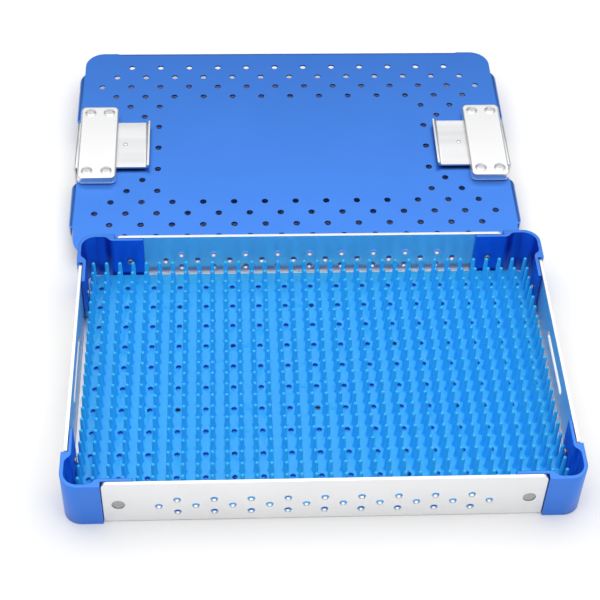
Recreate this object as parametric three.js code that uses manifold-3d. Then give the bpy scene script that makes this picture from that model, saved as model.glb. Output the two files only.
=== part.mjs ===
// Sterilization box: a riveted aluminium tray with a silicone finger mat, and a perforated lid with
// two sliding latches, which lies on its latch hooks behind the tray.
// Millimetres, +Z up, +X to the right, the tray's long front side towards -Y. The origin is on the
// table, under the middle of the whole set.

import * as THREE from 'three';
import { mergeGeometries, mergeVertices } from 'three/addons/utils/BufferGeometryUtils.js';
import Module from 'manifold-3d';

const wasm = await Module();
wasm.setup();

// Shared fits
const fit = 0.3;              // gap between pieces that touch or are cut by each other
const overrun = 2;            // how far a cutting shape passes the faces it cuts

// Tray
const trayWidth = 285;        // over the corner posts, along X
const trayDepth = 191;        // over the corner posts, along Y
const trayHeight = 34;
const postLegX = 22;          // from the tray's end to the step where a long rail begins
const postLegY = 24;          // from the tray's front or back to the step where a side rail begins
const postRadius = 10.2;
const postWall = 2.2;
const postProud = 1.4;        // the posts stand this far outside the rails
const knuckleLength = 2.5;    // from the step to where the pocket opens
const pocketSlope = 3;
const tongueLengthX = 17.5;   // beyond the step, along a long rail
const tongueLengthY = 15.8;   // beyond the step, along a side rail
const tongueThick = 2;
const railThick = 2;
const railCornerRadius = 3;
const ledgeReach = 11;        // the rails' bottom ledge, inwards from the rail's inner face

// Perforations of the long rails
const railHoleRadius = 2;
const railHolePitch = 20;
const railRowPitch = 5.5;
const railMiddleRow = 13.5;   // height of the middle row
const railHoleMargin = 36;    // least distance from the rail's end to the outer row's holes

// Latch slots of the side rails
const slotEndGap = 3;         // from the latch hook's side to the slot's end
const slotHeight = 5.2;
const slotCentre = 21;        // height of the slot's centre line
const slotShift = -2.5;       // the slot's middle against the rail's, along Y

// Bottom plate and its flush rivets
const plateThick = 1;
const plateInset = 3.4;       // from the side rail's inner face to the plate's edge
const drainRadius = 2;
const drainPitch = 40;        // along a row, twice the real plate's
const drainRowPitch = 20;     // twice the real plate's
const drainMargin = 3;        // from a hole's centre to the ledge, at least
const flushHeadRadius = 2.4;
const flushHeadDepth = 0.8;
const flushSink = 0.2;
const ledgeRivetX = 60;       // from the middle, on the long rails' ledges
const ledgeRivetY = 40;       // from the middle, on the side rails' ledges

// Wall rivets
const rivetHeight = 15.5;
const rivetShankRadius = 1.3;
const wallHeadRadius = 3.3;
const wallHeadThick = 0.4;
const wallHeadSink = 0.4;
const wallTailRadius = 2.1;
const wallTailThick = 0.7;
const wallTailBore = 0.9;
const wallTailBoreDepth = 1.2;

// Finger mat
const matThick = 1.2;
const matCornerRadius = 6;
const fingerPitch = 8.11;
const fingerHeight = 18.7;
const fingerFootRadius = 1.7;
const fingerTipRadius = 1.1;
const fingerSideEdge = 1.6;   // from an outer finger's centre to the mat's left or right edge, at least
const fingerEndEdge = 7;      // the same to its front or rear edge
const matGap = 0.4;           // between the mat's edge and the wall rivets' tails

// Lid
const sheetThick = 1.4;
const lidOverhangX = 0;       // the plate's edge against the tray's, at the ends
const lidInsetY = 1;          // the plate's edge inside the tray's, at the front and back
const lidFlangeDrop = 10;
const lidFlangeEndX = 3.4;    // the side flanges' outer face outside the plate's edge
const lidFlangeGap = 0.3;     // between a long flange and the long rail's outer face
const lidFlangeSetback = 0.6; // from a long flange's end to the post's step
const lidFlangePast = 1;      // from the post's step to a side flange's end, which lies outside the post
const cornerSlant = 4.5;      // a side flange's end runs back this far from the plate's edge to its face
const notchSlant = 3;         // the same at the latch's notch
const lidCornerRadius = 13;
const lidBendRadius = 3;      // outside the bend
const lidShift = -6.7;        // the lid's middle against the tray's, along X
const lidGap = 3;             // between the tray's back and the lid's front flange
const lidTilt = THREE.MathUtils.degToRad(3.5);

// Perforations of the lid
const lidHoleRadius = 2;
const lidHolePitch = 20;      // along a row
const lidRowPitch = 10;
const lidHoleEdge = 9.5;      // from a hole's centre to the plate's edge, at least
const lidHoleCorner = 36;     // both distances to the plate's edges together, at least
const lidBandY = 46;          // depth of the perforated bands at the front and back
const lidBandX = 54;          // depth of the perforated bands at the ends
const coverClearX = 5;
const coverClearY = 7;
const sliderClear = 4;

// Latches, measured outwards from the lid's middle and up from its top face
const coverEnd = 12.7;        // the cover reaches this far past the slider, along Y
const coverWidth = 25.2;      // along X
const coverInset = 0.2;       // from the plate's edge to the cover
const coverHeight = 6;
const coverCornerRadius = 3.5;
const coverBevel = 1.2;
const guideThick = 1;
const sliderThick = 1.5;
const sliderLength = 42;      // along Y
const sliderReach = 21.5;     // inwards past the cover
const sliderLip = 1.9;
const hookGap = 1;            // between the plate's edge and the hook's inner face
const hookDrop = 16.5;        // from the lid's top face to the bottom of the hook
const hookNose = 4.9;         // inwards from the hook's inner face
const hookBend = 1.2;         // outside the hook's bends
const latchTravel = 3.5;
const stopRadius = 1.5;
const stopHeight = 0.8;
const coverRivetEdge = 6.3;   // from the cover's edges to its rivets
const sunkRadius = 3.6;
const sunkDepth = 1.8;
const coverHeadRadius = 3.1;
const coverHeadHeight = 1.2;
const coverHeadShare = 0.85;  // a head's radius at half its height against its full radius
const coverTailRadius = 2.6;
const coverTailThick = 0.8;
const notchFrontGap = 11.3;   // from the slider's side to the front side flange, at the plate's edge
const notchRearGap = 4.5;     // the same to the rear side flange

// Return springs of the latches
const springRadius = 1.5;
const springWire = 0.25;      // radius of the wire
const springTurns = 5;
const springY = 12;           // from the latch's middle
const pocketEnd = 3;          // from the cover's edge to the spring's pocket

// Facets
const holeSides = 6;
const rivetSides = 8;
const flushSides = 6;
const curlSteps = 6;
const wireSides = 4;
const fingerSides = 3;

// Sizes that follow from those above
const endX = trayWidth / 2;
const endY = trayDepth / 2;
const railFaceX = endX - postProud;
const railFaceY = endY - postProud;
const railInnerX = railFaceX - railThick;
const railInnerY = railFaceY - railThick;
const stepX = endX - postLegX;
const stepY = endY - postLegY;
const tongueInnerX = railInnerX - fit - tongueThick;
const tongueInnerY = railInnerY - fit - tongueThick;
const wallRivetX = stepX - tongueLengthX / 2;
const wallRivetY = stepY - tongueLengthY / 2;
const plateBottom = railThick + fit;
const plateTop = plateBottom + plateThick;
const plateHalfX = railInnerX - plateInset;
const plateHalfY = tongueInnerY - fit;
const matHalfX = tongueInnerX - wallTailThick - matGap;
const matHalfY = tongueInnerY - wallTailThick - matGap;
const matBottom = plateTop + fit;
const matTop = matBottom + matThick;
const lidHalfX = endX + lidOverhangX;
const lidHalfY = endY - lidInsetY;
const flangeInnerY = railFaceY + lidFlangeGap;
const flangeOuterY = flangeInnerY + sheetThick;
const flangeOuterX = lidHalfX + lidFlangeEndX;
const coverOuter = lidHalfX - coverInset;
const coverInner = coverOuter - coverWidth;
const coverMiddle = (coverInner + coverOuter) / 2;
const coverLength = sliderLength + 2 * coverEnd;
const coverRivetX = coverWidth / 2 - coverRivetEdge;
const coverRivetY = coverLength / 2 - coverRivetEdge;
const notchFront = -sliderLength / 2 - notchFrontGap;
const notchRear = sliderLength / 2 + notchRearGap;
const sideFlangeEnd = stepY + lidFlangePast;
const slotLength = sliderLength + 2 * slotEndGap;
const guideTop = fit + guideThick;
const sliderBottom = guideTop + fit;
const sliderTop = sliderBottom + sliderThick;
const sliderInner = coverInner - sliderReach;
const hookInner = lidHalfX + hookGap;
const hookOuter = hookInner + sliderThick;
const tunnelTop = sliderTop + fit;
const springMiddle = sliderBottom + fit + springRadius;
const pocketTop = springMiddle + springRadius + fit;

const materials = {
  blue: () => new THREE.MeshStandardMaterial({ color: 0x2f66d8, metalness: 0.8, roughness: 0.4 }),
  silver: () => new THREE.MeshStandardMaterial({ color: 0xdcdde0, metalness: 0.9, roughness: 0.35 }),
  rivet: () => new THREE.MeshStandardMaterial({ color: 0x9a9a98, metalness: 0.9, roughness: 0.45 }),
  paleRivet: () => new THREE.MeshStandardMaterial({ color: 0xd4d4d6, metalness: 0.9, roughness: 0.35 }),
  silicone: () => new THREE.MeshStandardMaterial({ color: 0x38a8ff, metalness: 0, roughness: 0.5 }),
  steel: () => new THREE.MeshStandardMaterial({ color: 0xb8bcc2, metalness: 1, roughness: 0.3 })
};

// Geometry helpers

function bare(geometry) {
  geometry.deleteAttribute('normal');
  geometry.deleteAttribute('uv');
  return mergeVertices(geometry);
}

function solid(geometry) {
  const welded = bare(geometry);
  return new wasm.Manifold(new wasm.Mesh({
    numProp: 3,
    vertProperties: new Float32Array(welded.attributes.position.array),
    triVerts: new Uint32Array(welded.index.array)
  }));
}

function geometryOf(body) {
  const mesh = body.getMesh();
  const geometry = new THREE.BufferGeometry();
  geometry.setAttribute('position', new THREE.BufferAttribute(mesh.vertProperties, 3));
  geometry.setIndex(new THREE.BufferAttribute(mesh.triVerts, 1));
  return geometry;
}

function boxBetween(low, high) {
  const size = high.map((value, i) => value - low[i]);
  const middle = high.map((value, i) => (value + low[i]) / 2);
  return new THREE.BoxGeometry(...size).translate(...middle);
}

function upright(shape, bottom, top, segments = 4) {
  const options = { depth: top - bottom, bevelEnabled: false, curveSegments: segments };
  return new THREE.ExtrudeGeometry(shape, options).translate(0, 0, bottom);
}

// A shape drawn in X and Z, made into a sheet that runs from one Y to another.
function acrossY(shape, from, to, segments = 3) {
  const options = { depth: to - from, bevelEnabled: false, curveSegments: segments };
  return new THREE.ExtrudeGeometry(shape, options).rotateX(Math.PI / 2).translate(0, to, 0);
}

function roundedRectangle(halfX, halfY, radius) {
  const shape = new THREE.Shape();
  const cx = halfX - radius;
  const cy = halfY - radius;
  shape.absarc(cx, cy, radius, 0, Math.PI / 2);
  shape.absarc(-cx, cy, radius, Math.PI / 2, Math.PI);
  shape.absarc(-cx, -cy, radius, Math.PI, 1.5 * Math.PI);
  shape.absarc(cx, -cy, radius, 1.5 * Math.PI, 2 * Math.PI);
  return shape;
}

function holePath(x, y, radius, sides = holeSides) {
  const points = [];
  for (let i = 0; i < sides; i += 1) {
    const angle = 2 * Math.PI * i / sides;
    points.push(new THREE.Vector2(x + radius * Math.cos(angle), y + radius * Math.sin(angle)));
  }
  return new THREE.Path(points);
}

// A turned piece about Z, from points of radius and height that rise and close on the axis.
function turned(points, sides = rivetSides) {
  return bare(new THREE.LatheGeometry(points.map(([r, z]) => new THREE.Vector2(r, z)), sides))
    .rotateX(Math.PI / 2);
}

function cylinderAt(x, y, bottom, top, radius, sides = rivetSides) {
  return new THREE.CylinderGeometry(radius, radius, top - bottom, sides)
    .rotateX(Math.PI / 2)
    .translate(x, y, (top + bottom) / 2);
}

// The same body on the other side of the middle, turned half a turn about the vertical.
function turnedRound(body) {
  return solid(geometryOf(body).rotateZ(Math.PI));
}

function cut(body, geometries) {
  return geometries.reduce((rest, geometry) => rest.subtract(solid(geometry)), body);
}

const tray = new THREE.Group();
const lid = new THREE.Group();
const parts = new THREE.Group();
parts.add(tray, lid);

function addPiece(group, name, geometry, material) {
  const mesh = new THREE.Mesh(geometry, material());
  mesh.name = name;
  group.add(mesh);
  return mesh;
}

// Wall rivets: the axis runs along +Z from the rail's outer face inwards

function wallRivetGeometry() {
  const tail = railThick + fit + tongueThick + fit;
  const end = tail + wallTailThick;
  return turned([
    [0, wallHeadSink],
    [wallHeadRadius, wallHeadSink],
    [wallHeadRadius, wallHeadSink + wallHeadThick],
    [rivetShankRadius, wallHeadSink + wallHeadThick],
    [rivetShankRadius, tail],
    [wallTailRadius, tail],
    [wallTailRadius, end],
    [wallTailBore, end],
    [wallTailBore, end - wallTailBoreDepth],
    [0, end - wallTailBoreDepth]
  ]);
}

function wallRivetHole() {
  const seat = wallHeadSink + wallHeadThick + fit;
  const beyond = railThick + fit + tongueThick + overrun;
  return turned([
    [0, -overrun],
    [wallHeadRadius + fit, -overrun],
    [wallHeadRadius + fit, seat],
    [rivetShankRadius + fit, seat],
    [rivetShankRadius + fit, beyond],
    [0, beyond]
  ]);
}

// Turns a wall rivet's axis into the wall and moves it to its place.
const inwards = {
  front: (g, x) => g.rotateX(-Math.PI / 2).translate(x, -railFaceY, rivetHeight),
  rear: (g, x) => g.rotateX(Math.PI / 2).translate(x, railFaceY, rivetHeight),
  left: (g, y) => g.rotateY(Math.PI / 2).translate(-railFaceX, y, rivetHeight),
  right: (g, y) => g.rotateY(-Math.PI / 2).translate(railFaceX, y, rivetHeight)
};

const wallRivets = [
  ['front', 'left', -wallRivetX], ['front', 'right', wallRivetX],
  ['rear', 'left', -wallRivetX], ['rear', 'right', wallRivetX],
  ['left', 'front', -wallRivetY], ['left', 'rear', wallRivetY],
  ['right', 'front', -wallRivetY], ['right', 'rear', wallRivetY]
];

function wallHoles(wall) {
  return wallRivets.filter(([side]) => side === wall)
    .map(([side, , place]) => inwards[side](wallRivetHole(), place));
}

// Flush rivets through the ledges and the bottom plate

const ledgeMiddleX = railInnerX - ledgeReach / 2;
const ledgeMiddleY = railInnerY - ledgeReach / 2;
const flushRivets = [];
for (const [end, sy] of [['front', -1], ['rear', 1]]) {
  for (const [side, sx] of [['left', -1], ['right', 1]]) {
    flushRivets.push([`bottom_rivet_${end}_${side}`, sx * ledgeRivetX, sy * ledgeMiddleY]);
    flushRivets.push([`bottom_rivet_${side}_${end}`, sx * ledgeMiddleX, sy * ledgeRivetY]);
  }
}

function flushRivetGeometry() {
  return turned([
    [0, flushSink],
    [flushHeadRadius, flushSink],
    [rivetShankRadius, flushSink + flushHeadDepth],
    [rivetShankRadius, plateTop - flushSink - flushHeadDepth],
    [flushHeadRadius, plateTop - flushSink],
    [0, plateTop - flushSink]
  ], flushSides);
}

function flushRivetHole() {
  const shank = rivetShankRadius + fit;
  const head = flushHeadRadius + fit;
  return turned([
    [0, -overrun],
    [head, -overrun],
    [head, flushSink],
    [shank, flushSink + flushHeadDepth],
    [shank, plateTop - flushSink - flushHeadDepth],
    [head, plateTop - flushSink],
    [head, plateTop + overrun],
    [0, plateTop + overrun]
  ], flushSides);
}

const flushHoles = () => flushRivets.map(([, x, y]) => flushRivetHole().translate(x, y, 0));

// Corner posts: an extruded section with a rounded pocket and two tongues behind the rails

function postOutline(sx, sy) {
  const shape = new THREE.Shape();
  const centreX = endX - postRadius;
  const centreY = endY - postRadius;
  const inner = postRadius - postWall;
  const outline = [];
  const arc = (radius, from, to) => {
    const steps = 6;
    for (let i = 0; i <= steps; i += 1) {
      const angle = from + (to - from) * i / steps;
      outline.push([centreX + radius * Math.cos(angle), centreY + radius * Math.sin(angle)]);
    }
  };
  outline.push([endX, stepY]);
  arc(postRadius, 0, Math.PI / 2);
  outline.push([stepX, endY]);
  outline.push([stepX, railInnerY - fit]);
  outline.push([stepX - tongueLengthX, railInnerY - fit]);
  outline.push([stepX - tongueLengthX, tongueInnerY]);
  outline.push([stepX + knuckleLength, tongueInnerY]);
  outline.push([stepX + knuckleLength + pocketSlope, endY - postWall]);
  arc(inner, Math.PI / 2, 0);
  outline.push([endX - postWall, stepY + knuckleLength + pocketSlope]);
  outline.push([tongueInnerX, stepY + knuckleLength]);
  outline.push([tongueInnerX, stepY - tongueLengthY]);
  outline.push([railInnerX - fit, stepY - tongueLengthY]);
  outline.push([railInnerX - fit, stepY]);
  shape.setFromPoints(outline.map(([x, y]) => new THREE.Vector2(sx * x, sy * y)));
  return shape;
}

for (const [end, sy] of [['front', -1], ['rear', 1]]) {
  for (const [side, sx] of [['left', -1], ['right', 1]]) {
    const post = solid(upright(postOutline(sx, sy), 0, trayHeight));
    const drilled = cut(post, [
      inwards[end](wallRivetHole(), sx * wallRivetX),
      inwards[side](wallRivetHole(), sy * wallRivetY)
    ]);
    addPiece(tray, `corner_post_${end}_${side}`, geometryOf(drilled), materials.blue);
  }
}

// Rails: an upright wall with rounded top corners, and a ledge at its foot

function railWall(halfLength) {
  const shape = new THREE.Shape();
  const top = trayHeight - railCornerRadius;
  const side = halfLength - railCornerRadius;
  shape.moveTo(-halfLength, 0);
  shape.lineTo(halfLength, 0);
  shape.absarc(side, top, railCornerRadius, 0, Math.PI / 2);
  shape.absarc(-side, top, railCornerRadius, Math.PI / 2, Math.PI);
  return shape;
}

function longRail(sy) {
  const halfLength = stepX - fit;
  const wall = railWall(halfLength);
  const outerCount = Math.floor((halfLength - railHoleMargin) / railHolePitch);
  for (const row of [-1, 0, 1]) {
    const shift = row === 0 ? railHolePitch / 2 : 0;
    const first = row === 0 ? -outerCount - 1 : -outerCount;
    for (let i = first; i <= outerCount; i += 1) {
      const z = railMiddleRow + row * railRowPitch;
      wall.holes.push(holePath(i * railHolePitch + shift, z, railHoleRadius));
    }
  }
  const faces = [sy * railFaceY, sy * railInnerY].sort((a, b) => a - b);
  const ledge = [sy * railFaceY, sy * (railInnerY - ledgeReach)].sort((a, b) => a - b);
  const ledgeHalf = stepX - tongueLengthX - fit;
  const blank = solid(acrossY(wall, faces[0], faces[1]))
    .add(solid(boxBetween([-ledgeHalf, ledge[0], 0], [ledgeHalf, ledge[1], railThick])));
  return cut(blank, [...wallHoles(sy < 0 ? 'front' : 'rear'), ...flushHoles()]);
}

function sideRail(sx) {
  const halfLength = stepY - fit;
  const wall = railWall(halfLength);
  const slot = new THREE.Path();
  const end = (slotLength - slotHeight) / 2;
  slot.absarc(end - slotShift, slotCentre, slotHeight / 2, -Math.PI / 2, Math.PI / 2);
  slot.absarc(-end - slotShift, slotCentre, slotHeight / 2, Math.PI / 2, 1.5 * Math.PI);
  wall.holes.push(slot);
  const faces = [sx * railFaceX, sx * railInnerX].sort((a, b) => a - b);
  const ledge = [sx * railFaceX, sx * (railInnerX - ledgeReach)].sort((a, b) => a - b);
  const sheet = acrossY(wall, 0, faces[1] - faces[0]).rotateZ(-Math.PI / 2).translate(faces[0], 0, 0);
  const ledgeHalf = stepY - tongueLengthY - fit;
  const blank = solid(sheet)
    .add(solid(boxBetween([ledge[0], -ledgeHalf, 0], [ledge[1], ledgeHalf, railThick])));
  return cut(blank, [...wallHoles(sx < 0 ? 'left' : 'right'), ...flushHoles()]);
}

addPiece(tray, 'front_rail', geometryOf(longRail(-1)), materials.silver);
addPiece(tray, 'rear_rail', geometryOf(longRail(1)), materials.silver);
addPiece(tray, 'left_rail', geometryOf(sideRail(-1)), materials.silver);
addPiece(tray, 'right_rail', geometryOf(sideRail(1)), materials.silver);

for (const [wall, end, place] of wallRivets) {
  addPiece(tray, `wall_rivet_${wall}_${end}`, inwards[wall](wallRivetGeometry(), place), materials.rivet);
}

// Bottom plate: drain holes in staggered rows, clear of the ledges

function bottomPlate() {
  const plate = roundedRectangle(plateHalfX, plateHalfY, matCornerRadius);
  const reachX = railInnerX - ledgeReach - drainMargin;
  const reachY = railInnerY - ledgeReach - drainMargin;
  const columns = Math.ceil(reachX / drainPitch);
  const rows = Math.floor(reachY / drainRowPitch);
  for (let j = -rows; j <= rows; j += 1) {
    const shift = j % 2 === 0 ? 0 : 0.5;
    for (let i = -columns; i <= columns; i += 1) {
      const x = (i + shift) * drainPitch;
      if (Math.abs(x) <= reachX) plate.holes.push(holePath(x, j * drainRowPitch, drainRadius));
    }
  }
  return cut(solid(upright(plate, plateBottom, plateTop, 2)), flushHoles());
}

addPiece(tray, 'bottom_plate', geometryOf(bottomPlate()), materials.blue);

for (const [name, x, y] of flushRivets) {
  addPiece(tray, name, flushRivetGeometry().translate(x, y, 0), materials.rivet);
}

// Finger mat: a thin sheet with upright fingers, every second one of the real grid

// One finger, from the middle of the sheet's thickness up, narrower at its tip.
function fingerGeometry() {
  const foot = new THREE.Shape(holePath(0, 0, fingerFootRadius, fingerSides).getPoints(1));
  const bottom = matBottom + matThick / 2;
  const finger = upright(foot, bottom, matTop + fingerHeight);
  const points = finger.attributes.position;
  for (let i = 0; i < points.count; i += 1) {
    const share = (points.getZ(i) - bottom) / (matTop + fingerHeight - bottom);
    const narrow = 1 + (fingerTipRadius / fingerFootRadius - 1) * share;
    points.setXY(i, points.getX(i) * narrow, points.getY(i) * narrow);
  }
  return bare(finger);
}

function fingerMat() {
  const outline = roundedRectangle(matHalfX, matHalfY, matCornerRadius);
  const sheet = solid(upright(outline, matBottom, matTop, 2));
  const columns = Math.floor((matHalfX - fingerSideEdge) / fingerPitch + 0.5);
  const rows = Math.floor((matHalfY - fingerEndEdge) / fingerPitch);
  const one = fingerGeometry();
  const fingers = [];
  for (let i = -columns; i < columns; i += 1) {
    for (let j = -rows; j <= rows; j += 1) {
      if ((i + j) % 2 === 0) {
        fingers.push(one.clone().translate((i + 0.5) * fingerPitch, j * fingerPitch, 0));
      }
    }
  }
  return sheet.add(solid(mergeGeometries(fingers)));
}

addPiece(tray, 'silicone_mat', geometryOf(fingerMat()), materials.silicone);

// Lid plate: its top face is at zero height in the lid's own group

function lidHoleKept(x, y) {
  const toEdgeX = lidHalfX - Math.abs(x);
  const toEdgeY = lidHalfY - Math.abs(y);
  const underCover = Math.abs(x) > coverInner - coverClearX && Math.abs(y) < coverLength / 2 + coverClearY;
  const underSlider = Math.abs(x) > sliderInner - sliderClear && Math.abs(y) < sliderLength / 2 + sliderClear;
  const inBand = toEdgeY <= lidBandY || (toEdgeX <= lidBandX && !underCover && !underSlider);
  return inBand && toEdgeX >= lidHoleEdge && toEdgeY >= lidHoleEdge && toEdgeX + toEdgeY >= lidHoleCorner;
}

function lidHoles() {
  const places = [];
  const rows = Math.floor((lidHalfY - lidHoleEdge) / lidRowPitch);
  const columns = Math.ceil(lidHalfX / lidHolePitch);
  for (let j = -rows; j <= rows; j += 1) {
    const shift = j % 2 === 0 ? 0.5 : 0;
    for (let i = -columns; i <= columns; i += 1) {
      const x = (i + shift) * lidHolePitch;
      const y = j * lidRowPitch;
      if (lidHoleKept(x, y)) places.push([x, y]);
    }
  }
  return places;
}

// Section of a bent edge: from inside the plate over the bend and down, with its outer face at reach.
function flangeSection(reach) {
  const centre = reach - lidBendRadius;
  const shape = new THREE.Shape();
  shape.moveTo(centre - overrun, 0);
  shape.lineTo(centre - overrun, -sheetThick);
  shape.absarc(centre, -lidBendRadius, lidBendRadius - sheetThick, Math.PI / 2, 0, true);
  shape.lineTo(reach - sheetThick, -lidFlangeDrop);
  shape.lineTo(reach, -lidFlangeDrop);
  shape.absarc(centre, -lidBendRadius, lidBendRadius, 0, Math.PI / 2);
  return shape;
}

// A flange on the lid's right side, with both ends cut slantwise in plan.
function sideFlange(from, to, fromSlant, toSlant) {
  const inner = flangeOuterX - lidBendRadius - 2 * overrun;
  const plan = new THREE.Shape([
    [inner, from],
    [lidHalfX, from],
    [flangeOuterX, from + fromSlant],
    [flangeOuterX, to - toSlant],
    [lidHalfX, to],
    [inner, to]
  ].map(([x, y]) => new THREE.Vector2(x, y)));
  return solid(acrossY(flangeSection(flangeOuterX), from, to))
    .intersect(solid(upright(plan, -lidFlangeDrop - overrun, overrun)));
}

// The flat plate gives way to the bend of the long flange on each of its long sides.
function lidPlate() {
  const plate = roundedRectangle(lidHalfX, lidHalfY, lidCornerRadius);
  for (const [x, y] of lidHoles()) plate.holes.push(holePath(x, y, lidHoleRadius));
  const endHalf = stepX - lidFlangeSetback;
  const bendLine = flangeOuterY - lidBendRadius;
  let body = solid(upright(plate, -sheetThick, 0, 3));
  for (const turn of [Math.PI / 2, -Math.PI / 2]) {
    const strip = boxBetween([bendLine, -endHalf, -sheetThick - overrun], [flangeOuterY, endHalf, overrun]);
    const flange = acrossY(flangeSection(flangeOuterY), -endHalf, endHalf);
    body = body.subtract(solid(strip.rotateZ(turn))).add(solid(flange.rotateZ(turn)));
  }
  body = body
    .add(sideFlange(notchRear, sideFlangeEnd, notchSlant, cornerSlant))
    .add(sideFlange(-sideFlangeEnd, notchFront, cornerSlant, notchSlant))
    .add(turnedRound(sideFlange(-sideFlangeEnd, -notchRear, cornerSlant, notchSlant)))
    .add(turnedRound(sideFlange(-notchFront, sideFlangeEnd, notchSlant, cornerSlant)));
  return cut(body, latchRivetPlaces(1).concat(latchRivetPlaces(-1))
    .map(([x, y]) => cylinderAt(x, y, -sheetThick - overrun, overrun, rivetShankRadius + fit)));
}

// Latches

function latchRivetPlaces(sx) {
  const places = [];
  for (const dx of [-coverRivetX, coverRivetX]) {
    for (const y of [-coverRivetY, coverRivetY]) places.push([sx * (coverMiddle + dx), y]);
  }
  return places;
}

function coverOutline() {
  return roundedRectangle(coverWidth / 2, coverLength / 2, coverCornerRadius);
}

function guidePlate(sx) {
  const blank = upright(coverOutline(), fit, guideTop, 2).translate(sx * coverMiddle, 0, 0);
  return cut(solid(blank), latchRivetPlaces(sx)
    .map(([x, y]) => cylinderAt(x, y, -overrun, guideTop + overrun, rivetShankRadius + fit)));
}

function springPocket(sx, y, bottom, top) {
  const half = springRadius + fit;
  const ends = [sx * (coverInner + pocketEnd), sx * (coverOuter - pocketEnd)].sort((a, b) => a - b);
  return boxBetween([ends[0], y - half, bottom], [ends[1], y + half, top]);
}

function latchCover(sx) {
  const bevelled = new THREE.ExtrudeGeometry(coverOutline(), {
    depth: coverHeight - sliderBottom - 2 * coverBevel,
    bevelThickness: coverBevel,
    bevelSize: coverBevel,
    bevelOffset: -coverBevel,
    bevelSegments: 2,
    curveSegments: 2
  }).translate(sx * coverMiddle, 0, sliderBottom + coverBevel);
  const foot = upright(coverOutline(), sliderBottom, coverHeight - 2 * coverBevel, 2)
    .translate(sx * coverMiddle, 0, 0);
  const tunnelHalf = sliderLength / 2 + fit;
  const low = Math.min(sx * (coverInner - overrun), sx * (coverOuter + overrun));
  const high = Math.max(sx * (coverInner - overrun), sx * (coverOuter + overrun));
  const cutters = [
    boxBetween([low, -tunnelHalf, 0], [high, tunnelHalf, tunnelTop]),
    springPocket(sx, springY, sliderBottom, pocketTop),
    springPocket(sx, -springY, sliderBottom, pocketTop)
  ];
  for (const [x, y] of latchRivetPlaces(sx)) {
    cutters.push(cylinderAt(x, y, 0, coverHeight + overrun, rivetShankRadius + fit));
    cutters.push(cylinderAt(x, y, coverHeight - sunkDepth, coverHeight + overrun, sunkRadius, 2 * rivetSides));
  }
  return cut(solid(bevelled).add(solid(foot)), cutters);
}

function latchRivet() {
  const seat = coverHeight - sunkDepth + fit;
  const tail = -sheetThick - fit;
  return turned([
    [0, tail - coverTailThick],
    [coverTailRadius, tail - coverTailThick],
    [coverTailRadius, tail],
    [rivetShankRadius, tail],
    [rivetShankRadius, seat],
    [coverHeadRadius, seat],
    [coverHeadRadius * coverHeadShare, seat + coverHeadHeight / 2],
    [0, seat + coverHeadHeight]
  ]);
}

// The slider is one bent sheet: a finger lip, the flat, and a hook with its nose turned inwards.
function latchSlider(sx) {
  const section = [
    [sliderInner, sliderBottom],
    [hookInner, sliderBottom],
    [hookInner, -hookDrop + sliderThick],
    [hookInner - hookNose, -hookDrop + sliderThick],
    [hookInner - hookNose, -hookDrop],
    [hookOuter - hookBend, -hookDrop],
    [hookOuter, -hookDrop + hookBend],
    [hookOuter, sliderTop - hookBend],
    [hookOuter - hookBend, sliderTop],
    [sliderInner + sliderThick, sliderTop],
    [sliderInner + sliderThick, sliderTop + sliderLip],
    [sliderInner, sliderTop + sliderLip]
  ];
  const shape = new THREE.Shape(section.map(([x, z]) => new THREE.Vector2(sx * x, z)));
  const stopPlace = coverInner - latchTravel - stopRadius - fit;
  const half = sliderLength / 2;
  const sheet = solid(acrossY(shape, -half, half))
    .add(solid(cylinderAt(sx * stopPlace, 0, sliderBottom + sliderThick / 2, sliderTop + stopHeight, stopRadius)));
  return cut(sheet, [
    springPocket(sx, springY, 0, sliderTop + overrun),
    springPocket(sx, -springY, 0, sliderTop + overrun)
  ]);
}

// The middle line of a compression spring along X, with even turns.
class SpringCurve extends THREE.Curve {
  constructor(from, to) {
    super();
    this.from = from;
    this.to = to;
  }

  getPoint(t, target = new THREE.Vector3()) {
    const angle = 2 * Math.PI * springTurns * t;
    const radius = springRadius - springWire;
    const x = this.from + (this.to - this.from) * t;
    return target.set(x, radius * Math.cos(angle), radius * Math.sin(angle));
  }
}

function returnSpring(from, to) {
  const ring = new THREE.Shape();
  for (let i = 0; i < wireSides; i += 1) {
    const angle = 2 * Math.PI * i / wireSides;
    const x = springWire * Math.cos(angle);
    const y = springWire * Math.sin(angle);
    if (i === 0) ring.moveTo(x, y);
    else ring.lineTo(x, y);
  }
  return new THREE.ExtrudeGeometry(ring, {
    steps: springTurns * curlSteps,
    bevelEnabled: false,
    extrudePath: new SpringCurve(from, to)
  });
}

function springGap() {
  const curve = new SpringCurve(0, coverWidth - 2 * pocketEnd - 2 * fit - 2 * springWire);
  const steps = springTurns * curlSteps;
  const points = [];
  for (let i = 0; i <= steps; i += 1) points.push(curve.getPoint(i / steps));
  let least = Infinity;
  for (let i = 0; i <= steps; i += 1) {
    for (let j = i + curlSteps / 2; j <= steps; j += 1) {
      least = Math.min(least, points[i].distanceTo(points[j]) - 2 * springWire);
    }
  }
  return least;
}

console.log(`least gap between the spring's turns: ${springGap().toFixed(2)} mm`);

addPiece(lid, 'lid_plate', geometryOf(lidPlate()), materials.blue);

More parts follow.
